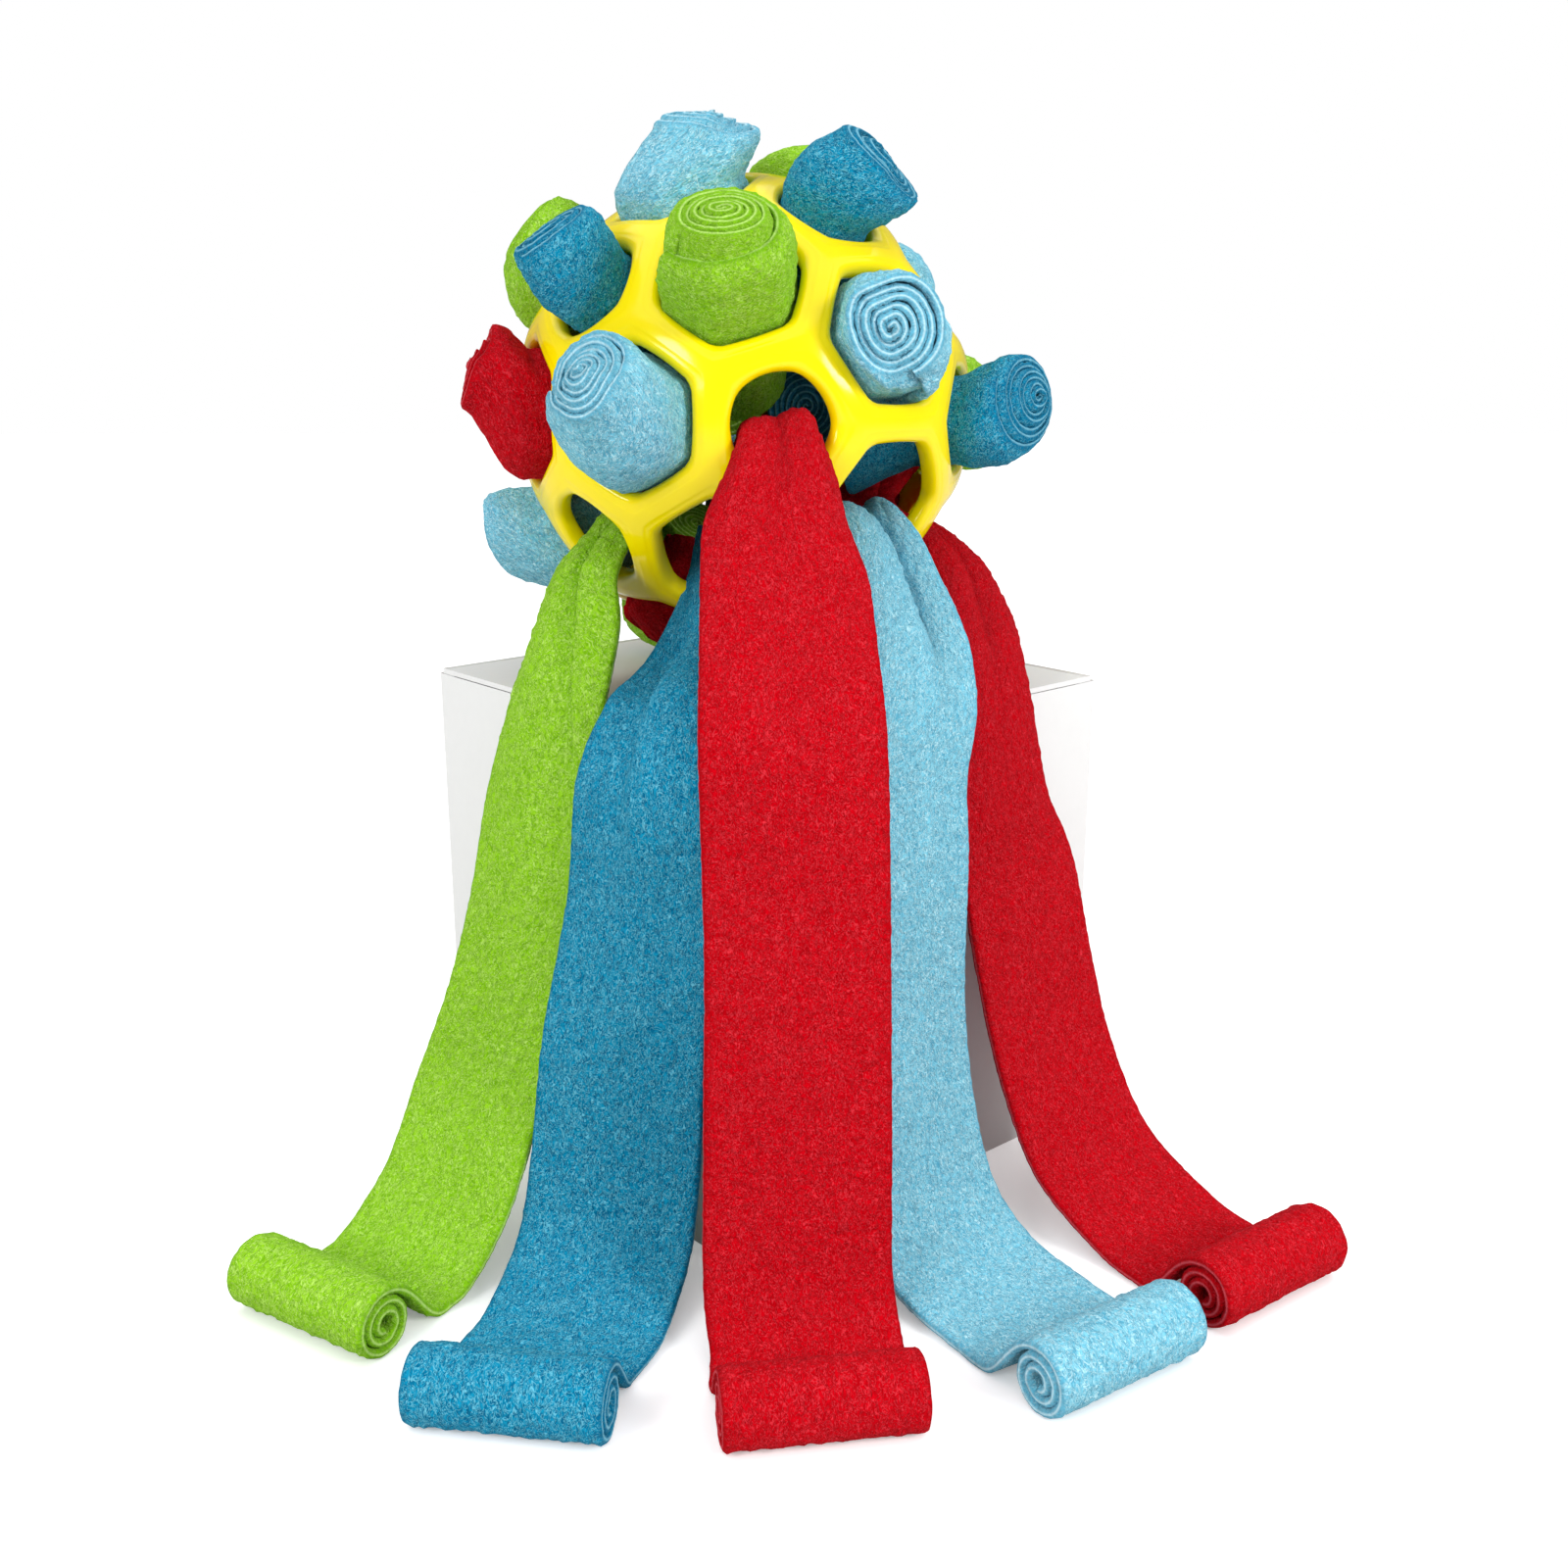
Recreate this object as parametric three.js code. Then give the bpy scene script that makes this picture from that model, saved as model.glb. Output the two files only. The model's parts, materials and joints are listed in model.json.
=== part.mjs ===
// A snuffle ball: a hollow moulded ball with an open football lattice.
// Its holes hold rolled strips of fleece. Five long strips leave its lower holes,
// fall over the edge of the card box that carries the ball, and end in small rolls on the table.
// Millimetres, +Z up, the table at z = 0, the front on the -Y side, the origin under the middle of the box.

import * as THREE from "three";
import { mergeVertices } from "three/addons/utils/BufferGeometryUtils.js";

// Driving dimensions
const CLEARANCE = 0.3; // between pieces that touch
const BOX = { side: 131, height: 133, turn: 41.7, corner: 2 };
const BALL = { radius: 61, wall: 5, x: -5, y: 2, z: 204.2, turn: 10 };
const FLEECE = { width: 42, thickness: 2.5, deepestFold: 3.5 };
const END_ROLL = { radius: 9, pressed: 0.6 }; // pressed: how far its underside is flattened on the table
const HOLE_CLOCK = 19; // clock angle of the first small hole of the front ring, from straight up
const RING_STEP = 72; // clock angle from one hole of a ring to the next
const SIDE_STEPS = 3; // lattice points along each side of a hole
const ACROSS_STEPS = 8; // strip points from edge to edge
const STEPS_A_ROW = 2; // strip points from one row of its table to the next

// The two sizes of hole. apothem: half width at the ball's surface.
// square: how far its corners are square, 0 being round.
const HOLE = {
  small: { sides: 5, apothem: 12.8, square: 0.3 },
  large: { sides: 6, apothem: 17.3, square: 0.75 },
};

// Wall of the lattice from the middle of a rib to the rim of a hole and back inside: share of the way, depth.
const RIB_SECTION = [
  { share: 0, depth: 0 },
  { share: 0.55, depth: 0 },
  { share: 1, depth: 2.2 },
  { share: 0.85, depth: BALL.wall },
  { share: 0, depth: BALL.wall },
];

// Rings of holes, counted from the front hole to the back one. half: the ring is turned by half a place.
const RINGS = [
  { polar: 0, places: 1, half: false, hole: HOLE.small },
  { polar: 37.377, places: 5, half: true, hole: HOLE.large },
  { polar: 63.435, places: 5, half: false, hole: HOLE.small },
  { polar: 79.188, places: 5, half: true, hole: HOLE.large },
  { polar: 100.812, places: 5, half: false, hole: HOLE.large },
  { polar: 116.565, places: 5, half: true, hole: HOLE.small },
  { polar: 142.623, places: 5, half: false, hole: HOLE.large },
  { polar: 180, places: 1, half: true, hole: HOLE.small },
];

// Finishes
function finish(colour, roughness) {
  return new THREE.MeshStandardMaterial({ color: colour, roughness, metalness: 0 });
}
const FINISH = {
  yellow: finish("#f5e003", 0.2),
  card: finish("#eeeeec", 0.7),
  red: finish("#c8182b", 0.95),
  green: finish("#86c232", 0.95),
  blue: finish("#1f84b5", 0.95),
  sky: finish("#6fbedb", 0.95),
};

// Rolled strips, by ring and place of their hole. reach: outer end from the ball's middle.
// radius: of the roll outside the ball. taper: how much less that is at its outer end.
// right, up: how far the outer end leans that way.
// facing: what is added to the hole's axis to give the way that the outer end looks (right, away, up).
const ROLLS = [
  { ring: 1, place: 0, colour: "sky", reach: 69, radius: 13.2, taper: 0.5, right: -9, up: -4,
    facing: [-0.3, -0.15, -0.2] },
  { ring: 1, place: 3, colour: "sky", reach: 79, radius: 15.4, taper: 2.5, right: 0.5, up: 12,
    facing: [-0.1, 0.1, 0.4] },
  { ring: 1, place: 4, colour: "green", reach: 83, radius: 15.2, taper: 1.5, right: 0, up: 0,
    facing: [0, 0.1, 0.5] },
  { ring: 2, place: 0, colour: "blue", reach: 75.5, radius: 14.8, taper: 0.5, right: 8, up: -4,
    facing: [0.4, 0, 0] },
  { ring: 2, place: 1, colour: "blue", reach: 79, radius: 15.5, taper: 1, right: 1, up: 6,
    facing: [0, -0.4, 0.2] },
  { ring: 2, place: 2, colour: "red", reach: 74, radius: 13, taper: 1, right: 0, up: 0 },
  { ring: 2, place: 4, colour: "blue", reach: 77, radius: 13.2, taper: 1, right: 2.5, up: 3,
    facing: [0, 0.2, 0.4] },
  { ring: 3, place: 2, colour: "red", reach: 72, radius: 13.5, taper: 1, right: 0, up: 0 },
  { ring: 3, place: 3, colour: "red", reach: 73, radius: 14.6, taper: 3, right: 0, up: 12,
    facing: [0, 0.1, 0.3] },
  { ring: 3, place: 4, colour: "sky", reach: 74, radius: 14.6, taper: 1, right: 12, up: 0,
    facing: [0.25, 0, 0] },
  { ring: 4, place: 0, colour: "green", reach: 73, radius: 13.5, taper: 2, right: 3, up: 0 },
  { ring: 4, place: 1, colour: "green", reach: 78, radius: 14, taper: 1, right: 0, up: -4 },
  { ring: 4, place: 2, colour: "blue", reach: 80, radius: 15, taper: 1, right: 0, up: 0 },
  { ring: 4, place: 3, colour: "sky", reach: 77, radius: 14.5, taper: 1, right: 0, up: 14 },
  { ring: 4, place: 4, colour: "green", reach: 73.5, radius: 14.8, taper: 1, right: 5, up: 2 },
  { ring: 5, place: 0, colour: "sky", reach: 75, radius: 13, taper: 1, right: 0, up: -1 },
  { ring: 5, place: 1, colour: "red", reach: 77, radius: 13, taper: 1, right: 0, up: 0 },
  { ring: 5, place: 2, colour: "green", reach: 77, radius: 13.5, taper: 1, right: 0, up: 0 },
  { ring: 5, place: 3, colour: "blue", reach: 72, radius: 13, taper: 1.5, right: 2, up: 0 },
  { ring: 5, place: 4, colour: "blue", reach: 72, radius: 12.5, taper: 1, right: 3, up: 1 },
  { ring: 6, place: 0, colour: "red", reach: 78, radius: 15, taper: 1, right: -2, up: 2 },
  { ring: 6, place: 1, colour: "blue", reach: 76, radius: 15.5, taper: 2, right: 2, up: 0 },
  { ring: 6, place: 2, colour: "sky", reach: 79, radius: 15, taper: 1, right: 0, up: 2 },
  { ring: 6, place: 3, colour: "red", reach: 75, radius: 15.2, taper: 1.5, right: -2, up: 0 },
  { ring: 6, place: 4, colour: "sky", reach: 78, radius: 14.8, taper: 1, right: 0, up: 3 },
  { ring: 7, place: 0, colour: "green", reach: 77, radius: 13.5, taper: 1, right: 0, up: 3 },
];

// A roll from its inner end to its outer one. from: the measure that the row's place counts from.
// hug: share of the hole's own outline in the roll's section, the rest being round.
// slant: share of the outer end's slant that the section has.
const ROLL_SECTION = [
  { from: "middle", place: 38, shrink: 3.5, hug: 0, slant: 0 },
  { from: "middle", place: 51.5, shrink: 0, hug: 1, slant: 0 },
  { from: "middle", place: 59.5, shrink: 0, hug: 1, slant: 0 },
  { from: "reach", place: -8, shrink: 0, hug: 0.25, slant: 0.3 },
  { from: "reach", place: -2, shrink: 1.2, hug: 0, slant: 0.9 },
  { from: "reach", place: 0, shrink: 4.5, hug: 0, slant: 0.8 },
];
const ROLL_CLEARANCE = 2 * CLEARANCE; // between a roll and the rim of its hole
const LEAN_START = 59.5; // height above the ball's middle where a roll starts to lean
const LEAST_OUTSIDE = 0.6; // least height of a roll's outer sections above that

// How a strip rises from the table to its end roll: distance before the roll's middle and height, in radii.
const END_RISE = [
  { before: 1.5, height: 0.42 },
  { before: 1.15, height: 0.8 },
];
const END_LEAD = 2.1; // where the strip leaves the table, in radii before the roll's middle
const END_TURN = { start: 160, steps: 11 }; // degrees where the strip meets the roll, and points after that

// Long strips. ridge: 1 where the gathered cloth stands up along its middle, -1 where it folds in.
// Each row is a section of the strip, from inside the ball to the table:
// its middle (x, y, z), the way its face looks (0 to the front, + to the right), and its gathered width.
const STRIPS = [
  {
    name: "strip_green",
    colour: "green",
    ridge: -1,
    roll: { x: -103.5, y: -117, facing: -32 },
    rows: [
      [-33, -23, 181.2, -48, 15],
      [-39.7, -28.9, 172.5, -48, 15],
      [-45, -36, 165.4, -48, 19],
      [-47.5, -42, 157, -48, 26],
      [-50.5, -47, 146, -47, 32],
      [-53, -51, 134, -46, 36],
      [-55.5, -55, 109, -41, 42],
      [-58.5, -58.5, 84, -36, 42],
      [-64.5, -63, 59, -35, 42],
      [-73.5, -67.5, 35, -36, 42],
      [-80, -81, 16, -36, 42],
      [-88, -94, 4, -33, 42],
    ],
  },
  {
    name: "strip_blue",
    colour: "blue",
    ridge: 1,
    roll: { x: -52.5, y: -154.5, facing: -9 },
    rows: [
      [-6, -26, 178.2, -4, 20],
      [-7.5, -35.5, 167, -5, 22],
      [-9, -45, 158.2, -8, 27],
      [-13, -56, 150, -18, 31],
      [-17, -66, 145.6, -25, 32],
      [-22, -80, 140.8, -31, 34],
      [-27, -90, 123.5, -32, 38],
      [-28.5, -87.5, 94, -29, 40],
      [-33.5, -88, 57, -21, 42],
      [-36, -91.5, 27, -15, 42],
      [-38.5, -100, 10, -13, 42],
      [-43, -120, 3, -11, 42],
      [-46, -129, 2, -10, 42],
    ],
  },
  {
    name: "strip_red_front",
    colour: "red",
    ridge: 1,
    roll: { x: 13.8, y: -157, facing: 9 },
    rows: [
      [1.5, -37, 193.8, 10, 17],
      [3.5, -45.5, 199.6, 10, 17.5],
      [4.8, -54.5, 199.8, 9, 18],
      [5, -64, 193, 8, 25],
      [4, -71, 183, 8, 32],
      [6, -79, 171, 7, 37],
      [7, -88, 156, 7, 39],
      [8, -99, 134, 7, 41],
      [9, -105, 88, 7, 41],
      [9, -112, 42, 7, 42],
      [9, -120, 15, 7, 42],
      [11, -132, 3.2, 7, 42],
    ],
  },
  {
    name: "strip_sky",
    colour: "sky",
    ridge: -1,
    roll: { x: 78.5, y: -138, facing: 34 },
    rows: [
      [20, -26, 177.4, 41, 20],
      [24.8, -33.6, 178, 41, 18.6],
      [30, -43, 172.4, 41, 20],
      [33, -52.8, 163, 40, 27],
      [35.8, -62.8, 153, 40, 33],
      [36.5, -70, 145, 40, 38],
      [35.5, -76, 134, 40, 42],
      [34, -78, 118, 40, 41],
      [34.5, -79, 100, 40, 42],
      [35, -80, 55, 40, 42],
      [41, -87, 19, 40, 42],
      [50, -98, 5, 37, 42],
      [62, -114, 1.6, 35, 42],
    ],
  },
  {
    name: "strip_red_side",
    colour: "red",
    ridge: 1,
    roll: { x: 121.5, y: -104, facing: 36 },
    rows: [
      [24, 2, 178, 78, 20],
      [36, -1, 174, 80, 22.8],
      [46, -5, 170.5, 75, 24],
      [54, -14, 163, 62, 26],
      [57, -26, 154, 52, 28],
      [58.5, -38, 145, 46, 27],
      [60, -47, 128, 44, 28.5],
      [63, -46.4, 108, 43, 32.5],
      [68, -42.5, 88, 42, 41],
      [73.5, -43.5, 60, 41, 42],
      [79, -48.5, 37, 41, 42],
      [88, -59, 15, 39, 42],
      [102, -77, 3.4, 37, 42],
    ],
  },
];

const radians = THREE.MathUtils.degToRad;
const lerp = THREE.MathUtils.lerp;

// A closed surface from corner points and triangles, with shared corners joined.
function closedGeometry(points, triangles) {
  const geometry = new THREE.BufferGeometry().setFromPoints(points);
  geometry.setIndex(triangles.flat());
  const welded = mergeVertices(geometry);
  welded.computeVertexNormals();
  return welded;
}

// A solid through a row of rings with the same number of points, closed at both ends by the same cap.
function closedLoft(rings, cap) {
  const count = rings[0].length;
  const triangles = [];
  for (let ring = 0; ring < rings.length - 1; ring += 1) {
    for (let i = 0; i < count; i += 1) {
      const here = ring * count + i;
      const next = ring * count + ((i + 1) % count);
      triangles.push([here, next, next + count], [here, next + count, here + count]);
    }
  }
  const last = (rings.length - 1) * count;
  for (const [a, b, c] of cap) {
    triangles.push([c, b, a], [last + a, last + b, last + c]);
  }
  return closedGeometry(rings.flat(), triangles);
}

// Direction from the ball's middle: an angle from its front, and a clock angle from straight up.
function direction(polar, clock) {
  const across = Math.sin(radians(polar));
  const x = across * Math.sin(radians(clock));
  const z = across * Math.cos(radians(clock));
  return new THREE.Vector3(x, -Math.cos(radians(polar)), z);
}

// Middle of a hole, as a direction.
function holeDirection(ring, place) {
  const { polar, places, half } = RINGS[ring];
  const start = HOLE_CLOCK + (half ? RING_STEP / 2 : 0);
  return direction(polar, places === 1 ? 0 : start + place * RING_STEP);
}

// Corners where three ribs of the lattice meet: a third of the way from each small hole to its neighbours.
function latticeCorners() {
  const small = [];
  RINGS.forEach((row, ring) => {
    for (let place = 0; place < row.places && row.hole === HOLE.small; place += 1) {
      small.push(holeDirection(ring, place));
    }
  });
  const neighbourCosine = 1 / Math.sqrt(5);
  const rounding = 0.01;
  const corners = [];
  for (const here of small) {
    for (const there of small) {
      if (Math.abs(here.dot(there) - neighbourCosine) < rounding) {
        corners.push(here.clone().multiplyScalar(2).add(there).normalize());
      }
    }
  }
  return corners;
}
const CORNERS = latticeCorners();

// Points round a hole, anticlockwise from outside. rib: middle of the rib there.
// side: unit vector from the hole's axis towards it.
// slope: sideways reach of the rim for each unit along the axis.
function holeRing(ring, place) {
  const { sides, apothem, square } = RINGS[ring].hole;
  const axis = holeDirection(ring, place);
  const corners = [...CORNERS].sort((a, b) => b.dot(axis) - a.dot(axis)).slice(0, sides);
  const first = corners[0].clone().addScaledVector(axis, -corners[0].dot(axis)).normalize();
  const second = new THREE.Vector3().crossVectors(axis, first);
  const angle = (corner) => Math.atan2(corner.dot(second), corner.dot(first));
  corners.sort((a, b) => angle(a) - angle(b));
  const sideways = (point) => point.clone().divideScalar(point.dot(axis)).sub(axis);
  const faceSlope = sideways(corners[0]).length() * Math.cos(Math.PI / sides);
  const roundSlope = Math.tan(Math.asin(apothem / BALL.radius));
  const points = [];
  for (let i = 0; i < sides; i += 1) {
    for (let step = 0; step < SIDE_STEPS; step += 1) {
      const rib = corners[i].clone().lerp(corners[(i + 1) % sides], step / SIDE_STEPS).normalize();
      const reach = sideways(rib);
      const squareSlope = reach.length() * (roundSlope / faceSlope);
      points.push({ rib, side: reach.normalize(), slope: lerp(roundSlope, squareSlope, square) });
    }
  }
  return { axis, points };
}

// The whole lattice: for each hole, bands from the middle of the ribs over the rim to the inside.
function ballLattice() {
  const corners = [];
  const triangles = [];
  RINGS.forEach((row, ring) => {
    for (let place = 0; place < row.places; place += 1) {
      const { axis, points } = holeRing(ring, place);
      const start = corners.length;
      for (const { share, depth } of RIB_SECTION) {
        for (const { rib, side, slope } of points) {
          const rim = axis.clone().addScaledVector(side, slope).normalize();
          const way = rib.clone().lerp(rim, share).normalize();
          corners.push(way.multiplyScalar(BALL.radius - depth));
        }
      }
      const count = points.length;
      for (let band = 0; band < RIB_SECTION.length - 1; band += 1) {
        for (let i = 0; i < count; i += 1) {
          const here = start + band * count + i;
          const next = start + band * count + ((i + 1) % count);
          triangles.push([here, next, next + count], [here, next + count, here + count]);
        }
      }
    }
  });
  return closedGeometry(corners, triangles);
}

// One rolled strip in its hole. It takes the hole's outline where it passes the wall, and is round outside.
// Where it would reach into the box, it is pressed flat on the lid.
function rollGeometry({ ring, place, reach, radius, taper, right, up, facing = [0, 0, 0] }) {
  const { axis, points } = holeRing(ring, place);
  const lid = BOX.height + CLEARANCE - BALL.z;
  const lean = new THREE.Vector3(right, 0, up);
  lean.addScaledVector(axis, -lean.dot(axis));
  const tilt = new THREE.Vector3(...facing);
  const steepness = -radius / (1 + axis.dot(tilt));
  const rings = ROLL_SECTION.map(({ from, place: along, shrink, hug, slant }) => {
    return points.map(({ side, slope }) => {
      const slanted = reach + along + slant * steepness * side.dot(tilt);
      const outside = Math.max(slanted, LEAN_START + LEAST_OUTSIDE);
      const height = from === "reach" ? outside : along;
      const leaning = Math.max(0, (height - LEAN_START) / (reach - LEAN_START));
      const rimHeight = BALL.radius - RIB_SECTION[2].depth;
      const inHole = (rimHeight * slope) / Math.hypot(1, slope) - ROLL_CLEARANCE;
      const roundPart = radius - taper * leaning;
      const point = axis.clone().multiplyScalar(height);
      point.addScaledVector(side, lerp(roundPart, inHole, hug) - shrink).addScaledVector(lean, leaning);
      point.z = Math.max(point.z, lid);
      return point;
    });
  });
  const cap = [];
  for (let i = 1; i < points.length - 1; i += 1) {
    cap.push([0, i, i + 1]);
  }
  return closedLoft(rings, cap);
}

// Outline of an end roll seen along its axis, from where the strip leaves the table, over the top and down.
// Each point has a distance from the roll's middle along the strip, and a height.
function endRollOutline() {
  const { radius, pressed } = END_ROLL;
  const middle = radius - pressed;
  const outline = [[-END_LEAD * radius, FLEECE.thickness]];
  for (const { before, height } of END_RISE) {
    outline.push([-before * radius, height * radius]);
  }
  const firstAngle = radians(END_TURN.start);
  const lastAngle = -Math.asin(middle / radius);
  for (let i = 0; i <= END_TURN.steps; i += 1) {
    const angle = lerp(firstAngle, lastAngle, i / END_TURN.steps);
    outline.push([radius * Math.cos(angle), middle + radius * Math.sin(angle)]);
  }
  outline.push([-END_LEAD * radius, 0]);
  return outline;
}

// Depth of the folds that take up the cloth where a strip is gathered to less than its width.
function foldDepth(width) {
  const ratio = Math.max(1, FLEECE.width / width);
  const steepness = Math.sqrt(2 * (ratio * ratio - 1));
  const foldLength = width / 2;
  return Math.min(FLEECE.deepestFold, (steepness * foldLength) / (2 * Math.PI));
}

// One long strip with its end roll: side outlines, one for each place across the width, joined into a solid.
function stripGeometry({ ridge, roll, rows }) {
  const places = rows.map(([x, y, z]) => new THREE.Vector3(x, y, z));
  const middles = new THREE.CatmullRomCurve3(places, false, "catmullrom");
  const shapes = rows.map(([, , , facing, width]) => new THREE.Vector3(facing, width, 0));
  const spreads = new THREE.CatmullRomCurve3(shapes, false, "catmullrom");
  const stations = (rows.length - 1) * STEPS_A_ROW;
  const outline = endRollOutline();
  const rollRight = new THREE.Vector3(Math.cos(radians(roll.facing)), Math.sin(radians(roll.facing)), 0);
  const rollAhead = new THREE.Vector3(rollRight.y, -rollRight.x, 0);
  const rings = [];
  for (let j = 0; j <= ACROSS_STEPS; j += 1) {
    const across = lerp(-1, 1, j / ACROSS_STEPS);
    const topside = [];
    const underside = [];
    for (let i = 0; i <= stations; i += 1) {
      const share = i / stations;
      const { x: facing, y: width } = spreads.getPoint(share);
      const right = new THREE.Vector3(Math.cos(radians(facing)), Math.sin(radians(facing)), 0);
      const outward = middles.getTangent(share).cross(right).normalize();
      const fold = ridge * foldDepth(width) * Math.cos(2 * Math.PI * across);
      const middle = middles.getPoint(share).addScaledVector(right, (across * width) / 2);
      middle.addScaledVector(outward, fold);
      topside.push(middle.clone().addScaledVector(outward, FLEECE.thickness / 2));
      underside.unshift(middle.clone().addScaledVector(outward, -FLEECE.thickness / 2));
    }
    const end = outline.map(([ahead, height]) => {
      const point = new THREE.Vector3(roll.x, roll.y, height);
      return point.addScaledVector(rollRight, (across * FLEECE.width) / 2).addScaledVector(rollAhead, ahead);
    });
    const ring = [...topside, ...end, ...underside];
    ring.forEach((point) => {
      point.z = Math.max(point.z, 0);
    });
    rings.push(ring);
  }
  const count = rings[0].length;
  const cap = [];
  for (let i = 0; i < stations; i += 1) {
    const below = count - 1 - i;
    cap.push([i, i + 1, below - 1], [i, below - 1, below]);
  }
  const flatEnd = outline.map(([ahead, height]) => new THREE.Vector2(ahead, height));
  const foot = stations + 1;
  const heel = stations + outline.length;
  cap.push([stations, foot, heel], [stations, heel, heel + 1]);
  for (const [a, b, c] of THREE.ShapeUtils.triangulateShape(flatEnd, [])) {
    cap.push([foot + c, foot + b, foot + a]);
  }
  return closedLoft(rings, cap);
}

// The card box: a square with softened upright edges, standing on the table.
function boxGeometry() {
  const { side, height, corner } = BOX;
  const inset = side / 2 - corner;
  const shape = new THREE.Shape();
  const corners = [
    [inset, inset],
    [-inset, inset],
    [-inset, -inset],
    [inset, -inset],
  ];
  corners.forEach(([x, y], i) => {
    shape.absarc(x, y, corner, (i * Math.PI) / 2, ((i + 1) * Math.PI) / 2, false);
  });
  const geometry = new THREE.ExtrudeGeometry(shape, { depth: height, bevelEnabled: false, curveSegments: 4 });
  geometry.deleteAttribute("normal");
  geometry.deleteAttribute("uv");
  const welded = mergeVertices(geometry);
  welded.computeVertexNormals();
  return welded;
}

function namedMesh(name, geometry, material) {
  const mesh = new THREE.Mesh(geometry, material);
  mesh.name = name;
  return mesh;
}

// The scene graph: the box and the strips stand on the table, the ball carries its rolls
const toy = new THREE.Group();

const box = namedMesh("display_box", boxGeometry(), FINISH.card);
box.rotation.z = radians(BOX.turn);
toy.add(box);

const ball = new THREE.Group();
ball.position.set(BALL.x, BALL.y, BALL.z);
ball.rotation.z = radians(BALL.turn);
ball.add(namedMesh("ball_lattice", ballLattice(), FINISH.yellow));
ROLLS.forEach((row) => {
  ball.add(namedMesh(`roll_${row.colour}_${row.ring}${row.place}`, rollGeometry(row), FINISH[row.colour]));
});
toy.add(ball);

for (const strip of STRIPS) {
  toy.add(namedMesh(strip.name, stripGeometry(strip), FINISH[strip.colour]));
}

export default toy;
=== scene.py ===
"""Looks of a fleece snuffle ball on its display box.

A glossy moulded ball with an open football lattice holds rolled strips of fleece in its holes. Five long
strips hang from its lower holes over the edge of a white card box and end in small rolls on the table.
Sizes are in millimetres and are turned to metres where a mesh is made. +Z is up and -Y is the front.
"""

import json
import logging
import math
from dataclasses import dataclass, field
from enum import Enum

import bpy
import numpy as np
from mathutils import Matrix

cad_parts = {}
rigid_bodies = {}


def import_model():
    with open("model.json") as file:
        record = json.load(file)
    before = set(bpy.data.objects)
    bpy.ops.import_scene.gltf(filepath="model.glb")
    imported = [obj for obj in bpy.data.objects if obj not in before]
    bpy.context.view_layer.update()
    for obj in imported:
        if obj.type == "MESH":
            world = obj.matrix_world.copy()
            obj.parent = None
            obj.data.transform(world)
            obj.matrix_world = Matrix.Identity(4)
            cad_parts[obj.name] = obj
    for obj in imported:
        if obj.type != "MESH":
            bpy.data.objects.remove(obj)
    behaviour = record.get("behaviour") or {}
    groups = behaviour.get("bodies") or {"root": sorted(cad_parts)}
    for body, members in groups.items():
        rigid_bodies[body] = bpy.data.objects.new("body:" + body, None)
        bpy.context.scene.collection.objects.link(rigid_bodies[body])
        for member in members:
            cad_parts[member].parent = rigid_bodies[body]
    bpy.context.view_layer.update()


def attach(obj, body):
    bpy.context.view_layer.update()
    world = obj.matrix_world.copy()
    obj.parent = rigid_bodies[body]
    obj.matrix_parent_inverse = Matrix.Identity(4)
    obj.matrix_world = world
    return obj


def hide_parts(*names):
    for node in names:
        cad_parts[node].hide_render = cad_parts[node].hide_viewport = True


LOG = logging.getLogger("snuffle_ball")
MM = 0.001
BODY = "root"
CLOTH_DEPTH = 2.3


def linear(hex_colour: str) -> tuple[float, float, float, float]:
    """Turns an sRGB colour into linear values.

    Args:
        hex_colour: The colour as six hex digits after a hash sign.

    Returns:
        Linear red, green and blue, and an alpha of one.
    """
    shares = [int(hex_colour[i : i + 2], 16) / 255 for i in (1, 3, 5)]
    values = [part / 12.92 if part <= 0.04045 else ((part + 0.055) / 1.055) ** 2.4 for part in shares]
    return (values[0], values[1], values[2], 1.0)


def add_node(
    tree: bpy.types.NodeTree, kind: str, inputs: dict | None = None, **settings: object
) -> bpy.types.Node:
    """Adds a node with its settings, values and links.

    Args:
        tree: The node tree that gets the node.
        kind: Blender's name for the kind of node.
        inputs: For each named or numbered input a value, an output socket, or a node for its first output.
        **settings: Properties of the node itself.

    Returns:
        The new node.
    """
    node = tree.nodes.new(kind)
    for name, value in settings.items():
        setattr(node, name, value)
    for socket, value in (inputs or {}).items():
        if isinstance(value, bpy.types.Node):
            value = value.outputs[0]
        if isinstance(value, bpy.types.NodeSocket):
            tree.links.new(value, node.inputs[socket])
        else:
            node.inputs[socket].default_value = value
    return node


def new_material(
    name: str, constants: dict[str, object]
) -> tuple[bpy.types.Material, bpy.types.NodeTree, bpy.types.Node]:
    """Makes a material with a surface shader.

    Args:
        name: What the real material is.
        constants: Values of the shader's own inputs.

    Returns:
        The material, its node tree and its surface shader.
    """
    material = bpy.data.materials.new(name)
    material.use_nodes = True
    tree = material.node_tree
    tree.nodes.clear()
    shader = add_node(tree, "ShaderNodeBsdfPrincipled", constants)
    add_node(tree, "ShaderNodeOutputMaterial", {"Surface": shader})
    return material, tree, shader


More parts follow.
